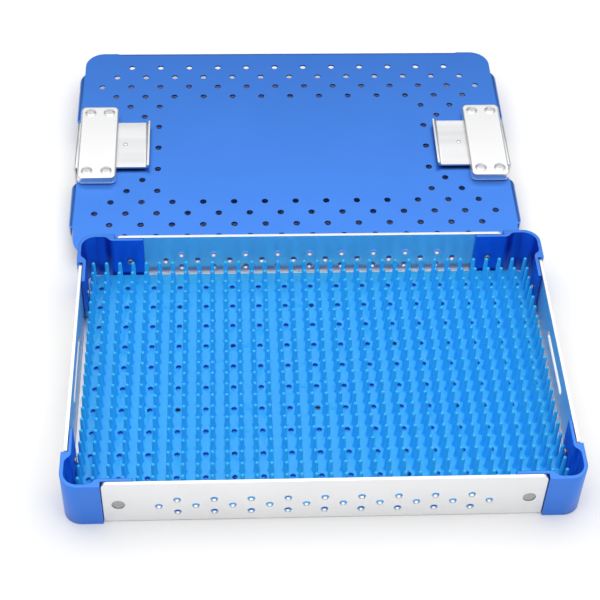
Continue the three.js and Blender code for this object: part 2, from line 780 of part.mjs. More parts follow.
for (const [side, sx] of [['left', -1], ['right', 1]]) {
  addPiece(lid, `${side}_latch_guide`, geometryOf(guidePlate(sx)), materials.silver);
  addPiece(lid, `${side}_latch_cover`, geometryOf(latchCover(sx)), materials.silver);
  addPiece(lid, `${side}_latch_slider`, geometryOf(latchSlider(sx)), materials.silver);
  for (const [end, sy] of [['front', -1], ['rear', 1]]) {
    for (const [edge, dx] of [['inner', -coverRivetX], ['outer', coverRivetX]]) {
      const rivet = latchRivet().translate(sx * (coverMiddle + dx), sy * coverRivetY, 0);
      addPiece(lid, `${side}_latch_rivet_${end}_${edge}`, rivet, materials.paleRivet);
    }
    const springEnds = [coverInner + pocketEnd + fit + springWire, coverOuter - pocketEnd - fit - springWire];
    const spring = returnSpring(sx * springEnds[0], sx * springEnds[1]);
    addPiece(lid, `${side}_latch_spring_${end}`, spring.translate(0, sy * springY, springMiddle), materials.steel);
  }
}

// The lid rests on the front corners of its hooks, with its back edge raised.
lid.rotation.x = lidTilt;
lid.position.x = lidShift;
lid.position.y = endY + lidGap + flangeOuterY;
lid.position.z = hookDrop * Math.cos(lidTilt) + sliderLength / 2 * Math.sin(lidTilt);

// The origin goes under the middle of the set.
parts.updateMatrixWorld(true);
const middle = new THREE.Box3().setFromObject(parts).getCenter(new THREE.Vector3());
parts.position.x = -middle.x;
parts.position.y = -middle.y;
parts.updateMatrixWorld(true);

export default parts;
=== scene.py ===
"""Looks of a sterilization box: an instrument tray with a silicone finger mat, and its perforated lid
with two sliding latches, which lies behind the tray. Lengths are in metres."""

from contextlib import contextmanager
from math import atan2, cos, pi, radians, sin

import bmesh
import bpy
from bpy.props import FloatProperty, FloatVectorProperty, IntProperty, PointerProperty
from bpy.types import Operator, Panel, PropertyGroup
from mathutils import Matrix, Vector


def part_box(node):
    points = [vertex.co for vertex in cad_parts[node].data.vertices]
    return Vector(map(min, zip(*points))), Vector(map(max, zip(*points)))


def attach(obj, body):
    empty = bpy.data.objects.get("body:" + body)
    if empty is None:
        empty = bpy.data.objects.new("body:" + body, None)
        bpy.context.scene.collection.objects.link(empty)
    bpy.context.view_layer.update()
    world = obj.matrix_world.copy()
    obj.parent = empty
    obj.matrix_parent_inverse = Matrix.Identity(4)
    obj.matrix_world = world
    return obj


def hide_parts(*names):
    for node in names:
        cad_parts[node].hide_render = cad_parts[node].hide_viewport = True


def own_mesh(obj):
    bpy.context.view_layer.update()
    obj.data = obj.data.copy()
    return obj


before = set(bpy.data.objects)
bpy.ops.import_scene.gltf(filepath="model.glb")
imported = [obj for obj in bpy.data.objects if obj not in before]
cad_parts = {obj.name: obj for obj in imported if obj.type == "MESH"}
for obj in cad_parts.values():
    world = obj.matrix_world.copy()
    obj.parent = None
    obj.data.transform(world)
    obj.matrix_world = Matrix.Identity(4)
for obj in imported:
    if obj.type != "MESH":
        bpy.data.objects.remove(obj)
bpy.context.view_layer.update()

bl_info = {
    "name": "Sterilization box",
    "version": (1, 0, 0),
    "blender": (4, 5, 0),
    "location": "3D View > Sidebar > Sterilization box",
    "description": "Builds the visible pieces of a perforated instrument tray and its latching lid",
    "category": "Mesh",
}

# Shared measures
mm = 0.001
fit = 0.3 * mm            # gap between pieces that touch
past = 2 * mm             # how far a cutting shape passes the faces that it cuts
tiny = 0.01 * mm          # places closer than this are the same
fine_edge = 0.15 * mm     # a sharp edge that is only just broken
soft_edge = 0.2 * mm      # the edge of a bent sheet
round_steps = 24          # sides of a drilled hole


# The frame's own measures: the tray's middle on the table, and each size outwards from it

def low(node):
    """The lowest corner of a frame node."""
    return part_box(node)[0]


def high(node):
    """The highest corner of a frame node."""
    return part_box(node)[1]


tray_middle = (low("corner_post_front_left") + high("corner_post_rear_right")) / 2
tray_middle.z = 0
tray_place = Matrix.Translation(tray_middle)
end = high("corner_post_rear_right") - tray_middle
tongue_end = low("corner_post_rear_right") - tray_middle
tray_height = end.z
rail_face = {"x": high("right_rail").x - tray_middle.x, "y": high("rear_rail").y - tray_middle.y}
rail_half = {"x": (high("rear_rail").x - low("rear_rail").x) / 2,
             "y": (high("right_rail").y - low("right_rail").y) / 2}
ledge_edge = {"x": low("right_rail").x - tray_middle.x, "y": low("rear_rail").y - tray_middle.y}
wall_turn = {"front": 0, "right": pi / 2, "rear": pi, "left": -pi / 2}
wall_axis = {"front": "x", "right": "y", "rear": "x", "left": "y"}


def lid_frame():
    """The lid's own axes, found on a latch guide: its flat top gives the tilt and the box its place."""
    guides = [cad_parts[f"{side}_latch_guide"] for side in ("left", "right")]
    top = max(guides[0].data.polygons, key=lambda face: face.normal.z).normal
    turn = Matrix.Rotation(atan2(-top.y, top.z), 4, "X")
    middle = sum((low(guide.name) + high(guide.name) for guide in guides), Vector()) / 4
    heights = [(turn.inverted() @ vertex.co).z for vertex in guides[0].data.vertices]
    lift = (max(heights) - min(heights)) / 2 + fit
    return Matrix.Translation(middle) @ turn @ Matrix.Translation((0, 0, -lift))


lid_place = lid_frame()


def lid_box(node):
    """Lowest and highest corner of a lid node along the lid's own axes."""
    back = lid_place.inverted()
    points = [back @ vertex.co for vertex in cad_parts[node].data.vertices]
    return [Vector([pick(point[i] for point in points) for i in range(3)]) for pick in (min, max)]


# User settings

def length(name, default, text):
    """A length property in metres."""
    return FloatProperty(name=name, description=text, default=default, unit="LENGTH", precision=5)


def colour(name, default, text):
    """A colour property."""
    return FloatVectorProperty(name=name, description=text, default=default, size=3, min=0, max=1,
                               subtype="COLOR")


class TraySizes(PropertyGroup):
    """Sizes of the tray's posts, rails and bottom plate."""
    sheet: length("Rail sheet", 2 * mm, "Thickness of the four rails")
    bend: length("Bend radius", 1.1 * mm, "Outer radius at the foot of a rail")
    rail_corner: length("Rail corner", 3 * mm, "Radius of a rail's top corners")
    hole_radius: length("Hole radius", 2 * mm, "Radius of the perforations")
    hole_pitch: length("Hole pitch", 20 * mm, "From hole to hole along a row")
    row_pitch: length("Row pitch", 5.5 * mm, "From row to row")
    middle_row: length("Middle row", 13.5 * mm, "Height of the middle row")
    columns: IntProperty(name="Columns", description="Holes each side of the middle one", default=4, min=0)
    slot_length: length("Slot length", 48 * mm, "Latch slot of a side rail, from end to end")
    slot_height: length("Slot height", 5.2 * mm, "Height of the latch slot")
    slot_centre: length("Slot centre", 21 * mm, "Height of the slot's centre line")
    slot_shift: length("Slot shift", -2.5 * mm, "The slot's middle against the rail's, from front to back")
    post_radius: length("Post radius", 10.2 * mm, "Outer radius of the corner posts")
    post_wall: length("Post wall", 2.2 * mm, "Wall of the corner posts")
    tongue: length("Tongue", 2 * mm, "Thickness of the tongues behind the rails")
    knuckle: length("Knuckle", 2.5 * mm, "From the step to where the post's pocket opens")
    pocket_slope: length("Pocket slope", 3 * mm, "Length of the slope into the pocket")
    plate_corner: length("Plate corner", 6 * mm, "Corner radius of the bottom plate and the mat")
    drain_radius: length("Drain radius", 2 * mm, "Radius of the bottom plate's holes")
    drain_margin: length("Drain margin", 3 * mm, "From a drain hole's centre to the ledge")
    drain_pitch: length("Drain pitch", 20 * mm, "From hole to hole along a row of the bottom plate")
    drain_row: length("Drain row", 10 * mm, "From row to row of the bottom plate")


class RivetSizes(PropertyGroup):
    """Sizes of the wall rivets and the flush rivets."""
    shank: length("Shank radius", 1.3 * mm, "Radius of every rivet's shank")
    head: length("Head radius", 3.3 * mm, "Radius of a wall rivet's head")
    head_thick: length("Head thickness", 0.4 * mm, "Thickness of a wall rivet's head")
    sink: length("Sink", 0.3 * mm, "Depth of the head's face behind the rail's face")
    tail: length("Tail radius", 2.1 * mm, "Radius of a wall rivet's rolled tail")
    tail_thick: length("Tail thickness", 0.7 * mm, "How far the tail stands inside the tongue")
    tail_bore: length("Tail bore", 0.9 * mm, "Radius of the hole in the tail")
    bore_depth: length("Bore depth", 1.2 * mm, "Depth of the hole in the tail")
    flush_head: length("Flush head", 2.4 * mm, "Radius of a flush rivet's heads")
    flush_depth: length("Flush depth", 0.8 * mm, "Depth of a flush rivet's countersink")
    flush_sink: length("Flush sink", 0.2 * mm, "Depth of a flush head behind its face")


class MatSizes(PropertyGroup):
    """Sizes of the silicone mat."""
    pitch: length("Finger pitch", 8.11 * mm, "From finger to finger, both ways")
    thick: length("Thickness", 1.2 * mm, "Thickness of the mat's sheet")
    side_edge: length("Side edge", 1.6 * mm, "Least distance from a finger's centre to the mat's side")
    end_edge: length("End edge", 7 * mm, "Least distance from a finger's centre to the front or rear edge")
    foot: length("Foot radius", 2.15 * mm, "Radius of a finger's foot")
    root: length("Root radius", 1.6 * mm, "Radius of a finger just above its foot")
    tip: length("Tip radius", 1.15 * mm, "Radius of a finger below its round tip")
    drain: length("Drain radius", 1.6 * mm, "Radius of the mat's drain holes")


class LidSizes(PropertyGroup):
    """Sizes of the lid plate."""
    sheet: length("Lid sheet", 1.4 * mm, "Thickness of the lid")
    corner: length("Corner radius", 13 * mm, "Radius of the lid's corners")
    bend: length("Bend radius", 3 * mm, "Outer radius of the bent flanges")
    edge_x: length("Side edge", 3.4 * mm, "From the plate's edge to the side flanges' outer face")
    edge_y: length("Long edge", 1.3 * mm, "From the plate's edge to the long flanges' outer face")
    setback: length("Setback", 0.6 * mm, "From a long flange's end to the post's step")
    beyond: length("Beyond", 1 * mm, "From the post's step to the end of a side flange")
    notch_front: length("Notch, front", -32.3 * mm, "Where the front side flange ends")
    notch_rear: length("Notch, rear", 25.5 * mm, "Where the rear side flange starts")
    corner_slant: length("Corner slant", 4.5 * mm, "How far a flange's end runs back at the lid's corner")
    notch_slant: length("Notch slant", 3 * mm, "How far a flange's end runs back at the latch")
    flange_corner: length("Flange corner", 1 * mm, "Radius between a side flange's face and its end")
    hole_radius: length("Hole radius", 2 * mm, "Radius of the perforations")
    hole_pitch: length("Hole pitch", 20 * mm, "From hole to hole along a row")
    row_pitch: length("Row pitch", 10 * mm, "From row to row")
    hole_edge: length("Hole edge", 9.5 * mm, "Least distance from a hole to the plate's edge")
    hole_corner: length("Hole corner", 36 * mm, "Least sum of a hole's distances to two edges")
    band_x: length("End bands", 54 * mm, "Depth of the perforated bands at the ends")
    band_y: length("Long bands", 46 * mm, "Depth of the perforated bands at front and back")
    clear_x: length("Cover clearance", 5 * mm, "From a hole's centre to a latch cover, along X")
    clear_y: length("Cover clearance, Y", 7 * mm, "From a hole's centre to a latch cover, along Y")
    clear_slider: length("Slider clearance", 4 * mm, "From a hole's centre to a slider")


class LatchSizes(PropertyGroup):
    """Sizes of the latches."""
    cover_corner: length("Cover corner", 3.5 * mm, "Radius of the cover's corners")
    cover_edge: length("Cover edge", 1.2 * mm, "Radius of the cover's top edges")
    sunk_radius: length("Counterbore radius", 3.6 * mm, "Radius of the rivets' counterbores")
    sunk_depth: length("Counterbore depth", 1.8 * mm, "Depth of the rivets' counterbores")
    head: length("Head radius", 2.95 * mm, "Radius of a latch rivet's head")
    tail: length("Tail radius", 2.6 * mm, "Radius of a latch rivet's tail")
    sheet: length("Slider sheet", 1.5 * mm, "Thickness of the slider")
    bend: length("Slider bend", 0.4 * mm, "Inner radius of the slider's bends")
    lip: length("Finger lip", 1.9 * mm, "Height of the slider's finger lip")
    lip_bend: length("Lip bend", 1.5 * mm, "Inner radius at the foot of the finger lip")
    nose: length("Hook nose", 4.9 * mm, "How far the hook's nose turns inwards")
    stop_radius: length("Stop radius", 1.5 * mm, "Radius of the boss that stops the slider")
    stop_height: length("Stop height", 0.8 * mm, "Height of the boss that stops the slider")
    travel: length("Travel", 3.5 * mm, "How far the slider moves outwards")
    pocket_end: length("Pocket end", 3 * mm, "From the cover's edge to a spring's pocket")
    wire: length("Spring wire", 0.25 * mm, "Radius of the springs' wire")
    slit: length("Slit", 2.1 * mm, "Length of the slit in a latch rivet's head")
    slit_wide: length("Slit width", 0.5 * mm, "Width of the slit in a latch rivet's head")
    turns: IntProperty(name="Spring turns", description="Turns of each return spring", default=5, min=1)


class Colours(PropertyGroup):
    """Colours of the finishes."""
    blue: colour("Blue", (0.064, 0.225, 0.735), "Anodized blue of the posts, the lid and the bottom plate")
    silver: colour("Silver", (0.858, 0.86, 0.864), "Matt silver of the rails and latch covers")
    slider: colour("Slider", (0.76, 0.765, 0.78), "Brushed metal of the sliders")
    rivet: colour("Rivet", (0.45, 0.44, 0.43), "Dull grey of the wall rivets")
    pale_rivet: colour("Pale rivet", (0.8, 0.805, 0.81), "Turned metal of the latch rivets")
    silicone: colour("Silicone", (0.038, 0.505, 1.0), "Blue of the finger mat")
    floor: colour("Floor", (0.95, 0.95, 0.955), "The table under the set")


class StageSettings(PropertyGroup):
    """Camera, lamp and surroundings."""
    eye_x: length("Eye X", -49.96 * mm, "Camera's place from the tray's middle")
    eye_y: length("Eye Y", -567.44 * mm, "Camera's place from the tray's middle")
    eye_z: length("Eye Z", 684.27 * mm, "Camera's height")
    yaw: FloatProperty(name="Yaw", description="Camera's turn to the right", default=radians(3.90),
                       subtype="ANGLE")
    pitch: FloatProperty(name="Pitch", description="Camera's tilt downwards", default=radians(46.98),
                         subtype="ANGLE")
    roll: FloatProperty(name="Roll", description="Camera's roll", default=radians(2.12), subtype="ANGLE")
    lens: FloatProperty(name="Lens", description="Focal length for a 36 mm wide sensor", default=89.95,
                        unit="CAMERA")
    horizon: FloatProperty(name="Horizon", description="Light of the surroundings at eye level", default=0.3)
    zenith: FloatProperty(name="Zenith", description="Light of the surroundings overhead", default=0.9)
    lamp: FloatProperty(name="Lamp", description="Radiance of the soft box overhead", default=1.17)
    lamp_wide: length("Lamp width", 2.2, "Size of the soft box from left to right")
    lamp_deep: length("Lamp depth", 2.0, "Size of the soft box from front to back")
    lamp_high: length("Lamp height", 1.0, "Height of the soft box")


# Modelling helpers

def choose_only(piece):
    """Selects one object and makes it active."""
    bpy.ops.object.select_all(action="DESELECT")
    piece.select_set(True)
    bpy.context.view_layer.objects.active = piece


@contextmanager
def editing(piece):
    """Edit mode on one piece."""
    choose_only(piece)
    bpy.ops.object.mode_set(mode="EDIT")
    yield
    bpy.ops.object.mode_set(mode="OBJECT")


@contextmanager
def editing_all(piece):
    """Edit mode on one piece, all of it selected."""
    with editing(piece):
        bpy.ops.mesh.select_all(action="SELECT")
        yield


def discard(piece):
    """Removes a piece that has done its work."""
    bpy.data.objects.remove(piece, do_unlink=True)


def select(piece, kind, test):
    """In edit mode, selects the piece's verts, edges or faces that pass a test, and nothing else."""
    bpy.ops.mesh.select_mode(type={"verts": "VERT", "edges": "EDGE", "faces": "FACE"}[kind])
    bpy.ops.mesh.select_all(action="DESELECT")
    shape = bmesh.from_edit_mesh(piece.data)
    for item in getattr(shape, kind):
        if test(item):
            item.select_set(True)
    shape.select_flush_mode()
    bmesh.update_edit_mesh(piece.data)


def near(value, target):
    """Whether two places are the same."""
    return abs(value - target) < tiny


def middle_of(edge):
    """The middle of an edge."""
    return (edge.verts[0].co + edge.verts[1].co) / 2


def along(edge, axis):
    """Whether an edge runs along an axis, 0 to 2."""
    direction = (edge.verts[1].co - edge.verts[0].co).normalized()
    return abs(direction[axis]) > 0.999


def extrude(step):
    """Extrudes what is selected by a step."""
    bpy.ops.mesh.extrude_region_move(TRANSFORM_OT_translate={"value": step})


def face_outwards(piece, apart=tiny):
    """Merges corners that lie closer than apart and turns every face outwards."""
    with editing_all(piece):
        bpy.ops.mesh.remove_doubles(threshold=apart)
        bpy.ops.mesh.normals_make_consistent(inside=False)


def block(name, corner_a, corner_b):
    """A box between two corners."""
    a, b = Vector(corner_a), Vector(corner_b)
    size = [abs(b[i] - a[i]) for i in range(3)]
    bpy.ops.mesh.primitive_cube_add(size=1, location=(a + b) / 2, scale=size)
    piece = bpy.context.object
    piece.name = name
    bpy.ops.object.transform_apply(location=True, rotation=True, scale=True)
    return piece


def drawn(name, points):
    """A chain of edges drawn from point to point, starting with a point of its own."""
    bpy.ops.mesh.primitive_plane_add(size=mm)
    piece = bpy.context.object
    piece.name = name
    with editing(piece):
        bpy.ops.mesh.select_mode(type="VERT")
        bpy.ops.mesh.select_all(action="SELECT")
        bpy.ops.mesh.merge(type="CENTER")
        bpy.ops.transform.translate(value=points[0])
        for start, stop in zip(points, points[1:]):
            step = Vector(stop) - Vector(start)
            bpy.ops.mesh.extrude_vertices_move(TRANSFORM_OT_translate={"value": step})
    return piece


def prism(name, outline, bottom, top):
    """A flat outline of (x, y) corners, filled and pulled up from one height to another."""
    corners = [(x, y, bottom) for x, y in outline]
    piece = drawn(name, corners + corners[:1])
    with editing_all(piece):
        bpy.ops.mesh.remove_doubles(threshold=tiny)
        bpy.ops.mesh.edge_face_add()
        extrude((0, 0, top - bottom))
    face_outwards(piece)
    return piece


def turned(name, profile, steps=round_steps):
    """A profile of (radius, height) points, from axis to axis, turned once round Z."""
    piece = drawn(name, [(radius, 0, height) for radius, height in profile])
    with editing_all(piece):
        bpy.ops.mesh.spin(steps=steps, angle=2 * pi, center=(0, 0, 0), axis=(0, 0, 1))
    face_outwards(piece)
    return piece


def corners_of(corner_a, corner_b):
    """The four (x, y) corners of a box."""
    return [(x, y) for x in (corner_a.x, corner_b.x) for y in (corner_a.y, corner_b.y)]


def round_edges(piece, test, radius, segments=4):
    """Rounds the edges that pass a test."""
    with editing(piece):
        select(piece, "edges", test)
        bpy.ops.mesh.bevel(offset=radius, offset_type="OFFSET", segments=segments, profile=0.5,
                           affect="EDGES", clamp_overlap=True)


def round_upright(piece, corners, radius, segments=6):
    """Rounds the upright edges at the given (x, y) corners."""
    def at_corner(edge):
        spot = middle_of(edge)
        return along(edge, 2) and any(near(spot.x, x) and near(spot.y, y) for x, y in corners)
    round_edges(piece, at_corner, radius, segments)


def soften(piece, width, segments=2, limit=radians(40)):
    """Breaks every sharp edge."""
    def sharp(edge):
        return len(edge.link_faces) == 2 and edge.calc_face_angle(0) > limit
    round_edges(piece, sharp, width, segments)


def cut_across(piece, axis, places):
    """Cuts lines round a piece at places along an axis."""
    normal = [0, 0, 0]
    normal[axis] = 1
    with editing(piece):
        for place in places:
            point = [0, 0, 0]
            point[axis] = place
            bpy.ops.mesh.select_all(action="SELECT")
            bpy.ops.mesh.bisect(plane_co=point, plane_no=normal)


def clear_flats(piece):
    """Takes away the lines that lie in a flat face."""
    with editing_all(piece):
        bpy.ops.mesh.dissolve_limited(angle_limit=radians(0.5))


def clear_slivers(piece):
    """Takes away edges and faces without size."""
    with editing_all(piece):
        bpy.ops.mesh.dissolve_degenerate(threshold=tiny)


def push(piece, test, step):
    """Extrudes the faces that pass a test by a step."""
    with editing(piece):
        select(piece, "faces", test)
        extrude(step)


def apply_modifier(piece, kind, **settings):
    """Adds a modifier with its settings and applies it."""
    choose_only(piece)
    bpy.ops.object.modifier_add(type=kind)
    modifier = piece.modifiers[-1]
    for name, value in settings.items():
        setattr(modifier, name, value)
    bpy.ops.object.modifier_apply(modifier=modifier.name)


def combine(piece, other, operation="DIFFERENCE"):
    """Cuts another shape from a piece or joins it on, and removes the other."""
    apply_modifier(piece, "BOOLEAN", operation=operation, solver="MANIFOLD", object=other)
    discard(other)


def at_places(piece, places):
    """Copies the mesh of a piece that stands at zero to every place."""
    places = [Vector(place) for place in places]
    with editing_all(piece):
        bpy.ops.transform.translate(value=places[0])
        for start, stop in zip(places, places[1:]):
            bpy.ops.mesh.duplicate_move(TRANSFORM_OT_translate={"value": stop - start})


def settle(piece, matrix):
    """Puts a piece in its place and leaves its object at the origin."""
    choose_only(piece)
    piece.matrix_world = matrix @ piece.matrix_world
    bpy.ops.object.transform_apply(location=True, rotation=True, scale=True)


def drill(piece, places, radius, bottom, top, broken=fine_edge, matrix=None, steps=round_steps):
    """Drills round holes along Z, each with its two rims broken."""
    wide = radius + broken + past
    bit = turned("bit", [(0, bottom - past), (wide, bottom - past), (radius, bottom + broken),
                         (radius, top - broken), (wide, top + past), (0, top + past)], steps)
    at_places(bit, [(x, y, 0) for x, y in places])
    if matrix:
        settle(bit, matrix)
    combine(piece, bit)


def copied(piece, name):
    """A copy with its own mesh."""
    choose_only(piece)
    bpy.ops.object.duplicate()
    twin = bpy.context.object
    twin.name = name
    return twin


def mirrored(piece, name, x=1, y=1):
    """A copy mirrored about the middle."""
    twin = copied(piece, name)
    twin.scale = (x, y, 1)
    bpy.ops.object.transform_apply(location=False, rotation=False, scale=True)
    with editing_all(twin):
        bpy.ops.mesh.normals_make_consistent(inside=False)
    return twin


def shade(piece, limit=radians(35)):
    """Smooth shading with sharp edges, also where a flat face meets a rounded one."""
    clear_slivers(piece)
    choose_only(piece)
    bpy.ops.object.shade_smooth_by_angle(angle=limit)

    def flat(face):
        return max(abs(part) for part in face.normal) > 0.9999

    def border(edge):
        faces = edge.link_faces
        return len(faces) == 2 and flat(faces[0]) != flat(faces[1])
    with editing(piece):
        select(piece, "edges", border)
        bpy.ops.mesh.mark_sharp()


def hand_over(piece, body, slot, *nodes):
    """Gives a finished piece its material and its place in the frame."""
    piece.data.materials.clear()
    piece.data.materials.append(finish(slot))
    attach(piece, body)
    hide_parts(*nodes)


# Finishes

class Value:
    """A socket that takes part in sums as a number does."""

    def __init__(self, shader, socket):
        self.shader = shader
        self.socket = socket

    def __add__(self, other):
        return self.shader.maths("ADD", self, other)

    def __sub__(self, other):
        return self.shader.maths("SUBTRACT", self, other)

    def __rsub__(self, other):
        return self.shader.maths("SUBTRACT", other, self)

    def __mul__(self, other):
        return self.shader.maths("MULTIPLY", self, other)

    __radd__ = __add__
    __rmul__ = __mul__


class Shader:
    """The nodes of one material, or of the surroundings."""

    def __init__(self, name, owner=None):
        self.material = owner or bpy.data.materials.new(name)
        self.material.use_nodes = True
        self.nodes = self.material.node_tree.nodes
        self.links = self.material.node_tree.links
        self.nodes.clear()
        self.where = self.node("ShaderNodeTexCoord", output="Object")

    def node(self, kind, settings=None, inputs=None, output=0):
        """Adds a node, its settings first and then the values or links of its sockets."""
        made = self.nodes.new(kind)
        for name, value in (settings or {}).items():
            if name == "stops":
                for stop, (place, shade_of) in zip(made.color_ramp.elements, value):
                    stop.position = place
                    stop.color = shade_of
            else:
                setattr(made, name, value)
        for name, value in (inputs or {}).items():
            if isinstance(value, Value):
                self.links.new(value.socket, made.inputs[name])
            else:
                made.inputs[name].default_value = value
        return Value(self, made.outputs[output]) if made.outputs else None

    def maths(self, operation, a, b):
        return self.node("ShaderNodeMath", {"operation": operation}, {0: a, 1: b})

    def noise(self, scale, detail=2, stretch=(1, 1, 1)):
        """Noise over the object's own place, from about -0.5 to 0.5."""
        where = self.node("ShaderNodeMapping", inputs={"Vector": self.where, "Scale": stretch})
        made = self.node("ShaderNodeTexNoise", inputs={"Vector": where, "Scale": scale, "Detail": detail},
                         output="Fac")
        return made - 0.5

    def mix(self, share, a, b):
        """A colour between two colours."""
        return self.node("ShaderNodeMix", {"data_type": "RGBA", "clamp_factor": True},
                         {0: share, 6: a, 7: b}, 2)

    def bump(self, height, depth, strength=1.0):
        return self.node("ShaderNodeBump", output="Normal",
                         inputs={"Strength": strength, "Distance": depth, "Height": height})

    def surface(self, **inputs):
        """Closes the material with a principled surface."""
        named = {name.replace("_", " ").title(): value for name, value in inputs.items()}
        named = {name.replace("Ior", "IOR"): value for name, value in named.items()}
        shader = self.node("ShaderNodeBsdfPrincipled", inputs=named)
        self.node("ShaderNodeOutputMaterial", inputs={"Surface": shader})
        return self.material


def rgba(shade_of, gain=1.0):
    """A colour with its alpha, made lighter or darker."""
    return tuple(min(1.0, part * gain) for part in shade_of) + (1.0,)


def anodized(shader, tint, rough):
    """Matt anodized sheet: a fine blasted grain and faint clouds."""
    cloud = shader.noise(22, 3) + 0.5
    grain = shader.noise(1600, 2)
    base = shader.mix(cloud, rgba(tint, 0.95), rgba(tint, 1.05))
    return shader.surface(base_color=base, metallic=1.0, roughness=grain * 0.1 + rough,
                          normal=shader.bump(grain, 0.004 * mm, 0.6))


def blue_anodized(shader, colours):
    return anodized(shader, colours.blue, 0.38)


def silver_anodized(shader, colours):
    return anodized(shader, colours.silver, 0.36)


def silver_brushed(shader, colours):
    """Brushed sheet: lines along the slider's travel, and soft bands across it."""
    lines = shader.noise(1, 3, (60, 2600, 2600))
    bands = shader.noise(1, 1, (6, 110, 110))
    base = shader.mix(bands * 1.4 + 0.5, rgba(colours.slider, 0.86), rgba(colours.slider, 1.14))
    return shader.surface(base_color=base, metallic=1.0, roughness=lines * 0.25 + 0.38,
                          normal=shader.bump(lines, 0.01 * mm, 0.7))


def turned_metal(shader, tint):
    """Turned metal with small dents."""
    dents = shader.noise(900, 3)
    stains = shader.noise(260, 2)
    base = shader.mix(stains + 0.5, rgba(tint, 0.85), rgba(tint, 1.15))
    return shader.surface(base_color=base, metallic=1.0, roughness=dents * 0.2 + 0.44,
                          normal=shader.bump(dents, 0.02 * mm, 0.6))


def rivet_metal(shader, colours):
    return turned_metal(shader, colours.rivet)


def rivet_silver(shader, colours):
    return turned_metal(shader, colours.pale_rivet)


def silicone(shader, colours):
    """Moulded silicone: a soft sheen, a slight bloom, and light that passes a little way in."""
    bloom = shader.noise(120, 3)
    pores = shader.noise(1500, 2)
    base = shader.mix(bloom + 0.5, rgba(colours.silicone, 0.92), rgba(colours.silicone, 1.08))
    return shader.surface(base_color=base, roughness=bloom * 0.12 + 0.42, subsurface_weight=0.35,
                          subsurface_radius=(0.1, 0.4, 1.0), subsurface_scale=2 * mm,
                          normal=shader.bump(pores, 0.01 * mm, 0.5))


def spring_steel(shader, colours):
    """Drawn wire."""
    lines = shader.noise(2200, 2)
    base = shader.mix(lines + 0.5, rgba(colours.slider, 0.7), rgba(colours.slider, 1.05))
    return shader.surface(base_color=base, metallic=1.0, roughness=lines * 0.15 + 0.3)


finish_makers = {maker.__name__: maker for maker in
                 (blue_anodized, silver_anodized, silver_brushed, rivet_metal, rivet_silver, silicone,
                  spring_steel)}


def finish(slot):
    """The finish of a slot, made when it is first asked for."""
    name = f"{slot}_finish"
    return bpy.data.materials.get(name) or finish_makers[slot](Shader(name), bpy.context.scene.box_colours)


# Tray

def wall_matrix(wall, u, height):
    """From a rivet's axis, which runs inwards along Z, to its place on a wall."""
    face = rail_face["y" if wall_axis[wall] == "x" else "x"]
    turn = Matrix.Rotation(wall_turn[wall], 4, "Z")
    return turn @ Matrix.Translation((u, -face, height)) @ Matrix.Rotation(-pi / 2, 4, "X")


def wall_rivets():
    """Each wall rivet's node, wall, place along the wall and height."""
    for node in sorted(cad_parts):
        if node.startswith("wall_rivet_"):
            wall = node.split("_")[2]
            spot = (low(node) + high(node)) / 2 - tray_middle
            back = Matrix.Rotation(-wall_turn[wall], 4, "Z")
            yield node, wall, (back @ spot).x, spot.z


def rivet_bit(rivet):
    """What a wall rivet takes out of rail and tongue: a seat for the head and a hole for the shank."""
    seat = rivet.sink + rivet.head_thick + fit
    rim = fine_edge
    deep = 4 * past
    wide = rivet.head + fit
    hole = rivet.shank + fit
    return turned("bit", [(0, -past), (wide + rim + past, -past), (wide, rim), (wide, seat), (hole, seat),
                          (hole, deep), (0, deep)])


class MESH_OT_box_corner_posts(Operator):
    """Four extruded corner posts with a rounded pocket and two tongues"""
    bl_idname = "mesh.box_corner_posts"
    bl_label = "Corner posts"

    def execute(self, context):
        tray = context.scene.box_tray
        step_x, step_y = rail_half["x"] + fit, rail_half["y"] + fit
        back_x, back_y = rail_face["x"] - tray.sheet - fit, rail_face["y"] - tray.sheet - fit
        inner_x, inner_y = back_x - tray.tongue, back_y - tray.tongue
        wall_x, wall_y = end.x - tray.post_wall, end.y - tray.post_wall
        open_x, open_y = step_x + tray.knuckle, step_y + tray.knuckle
        post = prism("corner_post", [
            (end.x, step_y), (end.x, end.y), (step_x, end.y), (step_x, back_y), (tongue_end.x, back_y),
            (tongue_end.x, inner_y), (open_x, inner_y), (open_x + tray.pocket_slope, wall_y),
            (wall_x, wall_y), (wall_x, open_y + tray.pocket_slope), (inner_x, open_y),
            (inner_x, tongue_end.y), (back_x, tongue_end.y), (back_x, step_y)], 0, tray_height)
        round_upright(post, [(end.x, end.y)], tray.post_radius, 14)
        round_upright(post, [(wall_x, wall_y)], tray.post_radius - tray.post_wall, 12)
        round_upright(post, [(open_x, inner_y), (inner_x, open_y)], 1.6 * mm, 4)
        round_upright(post, [(open_x + tray.pocket_slope, wall_y), (wall_x, open_y + tray.pocket_slope)],
                      1.6 * mm, 4)
        soften(post, 0.3 * mm)
        for node, wall, u, height in wall_rivets():
            if node in ("wall_rivet_rear_right", "wall_rivet_right_rear"):
                bit = rivet_bit(context.scene.box_rivet)
                settle(bit, wall_matrix(wall, u, height))
                combine(post, bit)
        for end_name, y in (("front", -1), ("rear", 1)):
            for side, x in (("left", -1), ("right", 1)):
                name = f"{end_name}_{side}"
                piece = mirrored(post, f"post_{name}", x, y)
                shade(piece)
                settle(piece, tray_place)
                hand_over(piece, "tray", "blue_anodized", f"corner_post_{name}")
        discard(post)
        return {"FINISHED"}


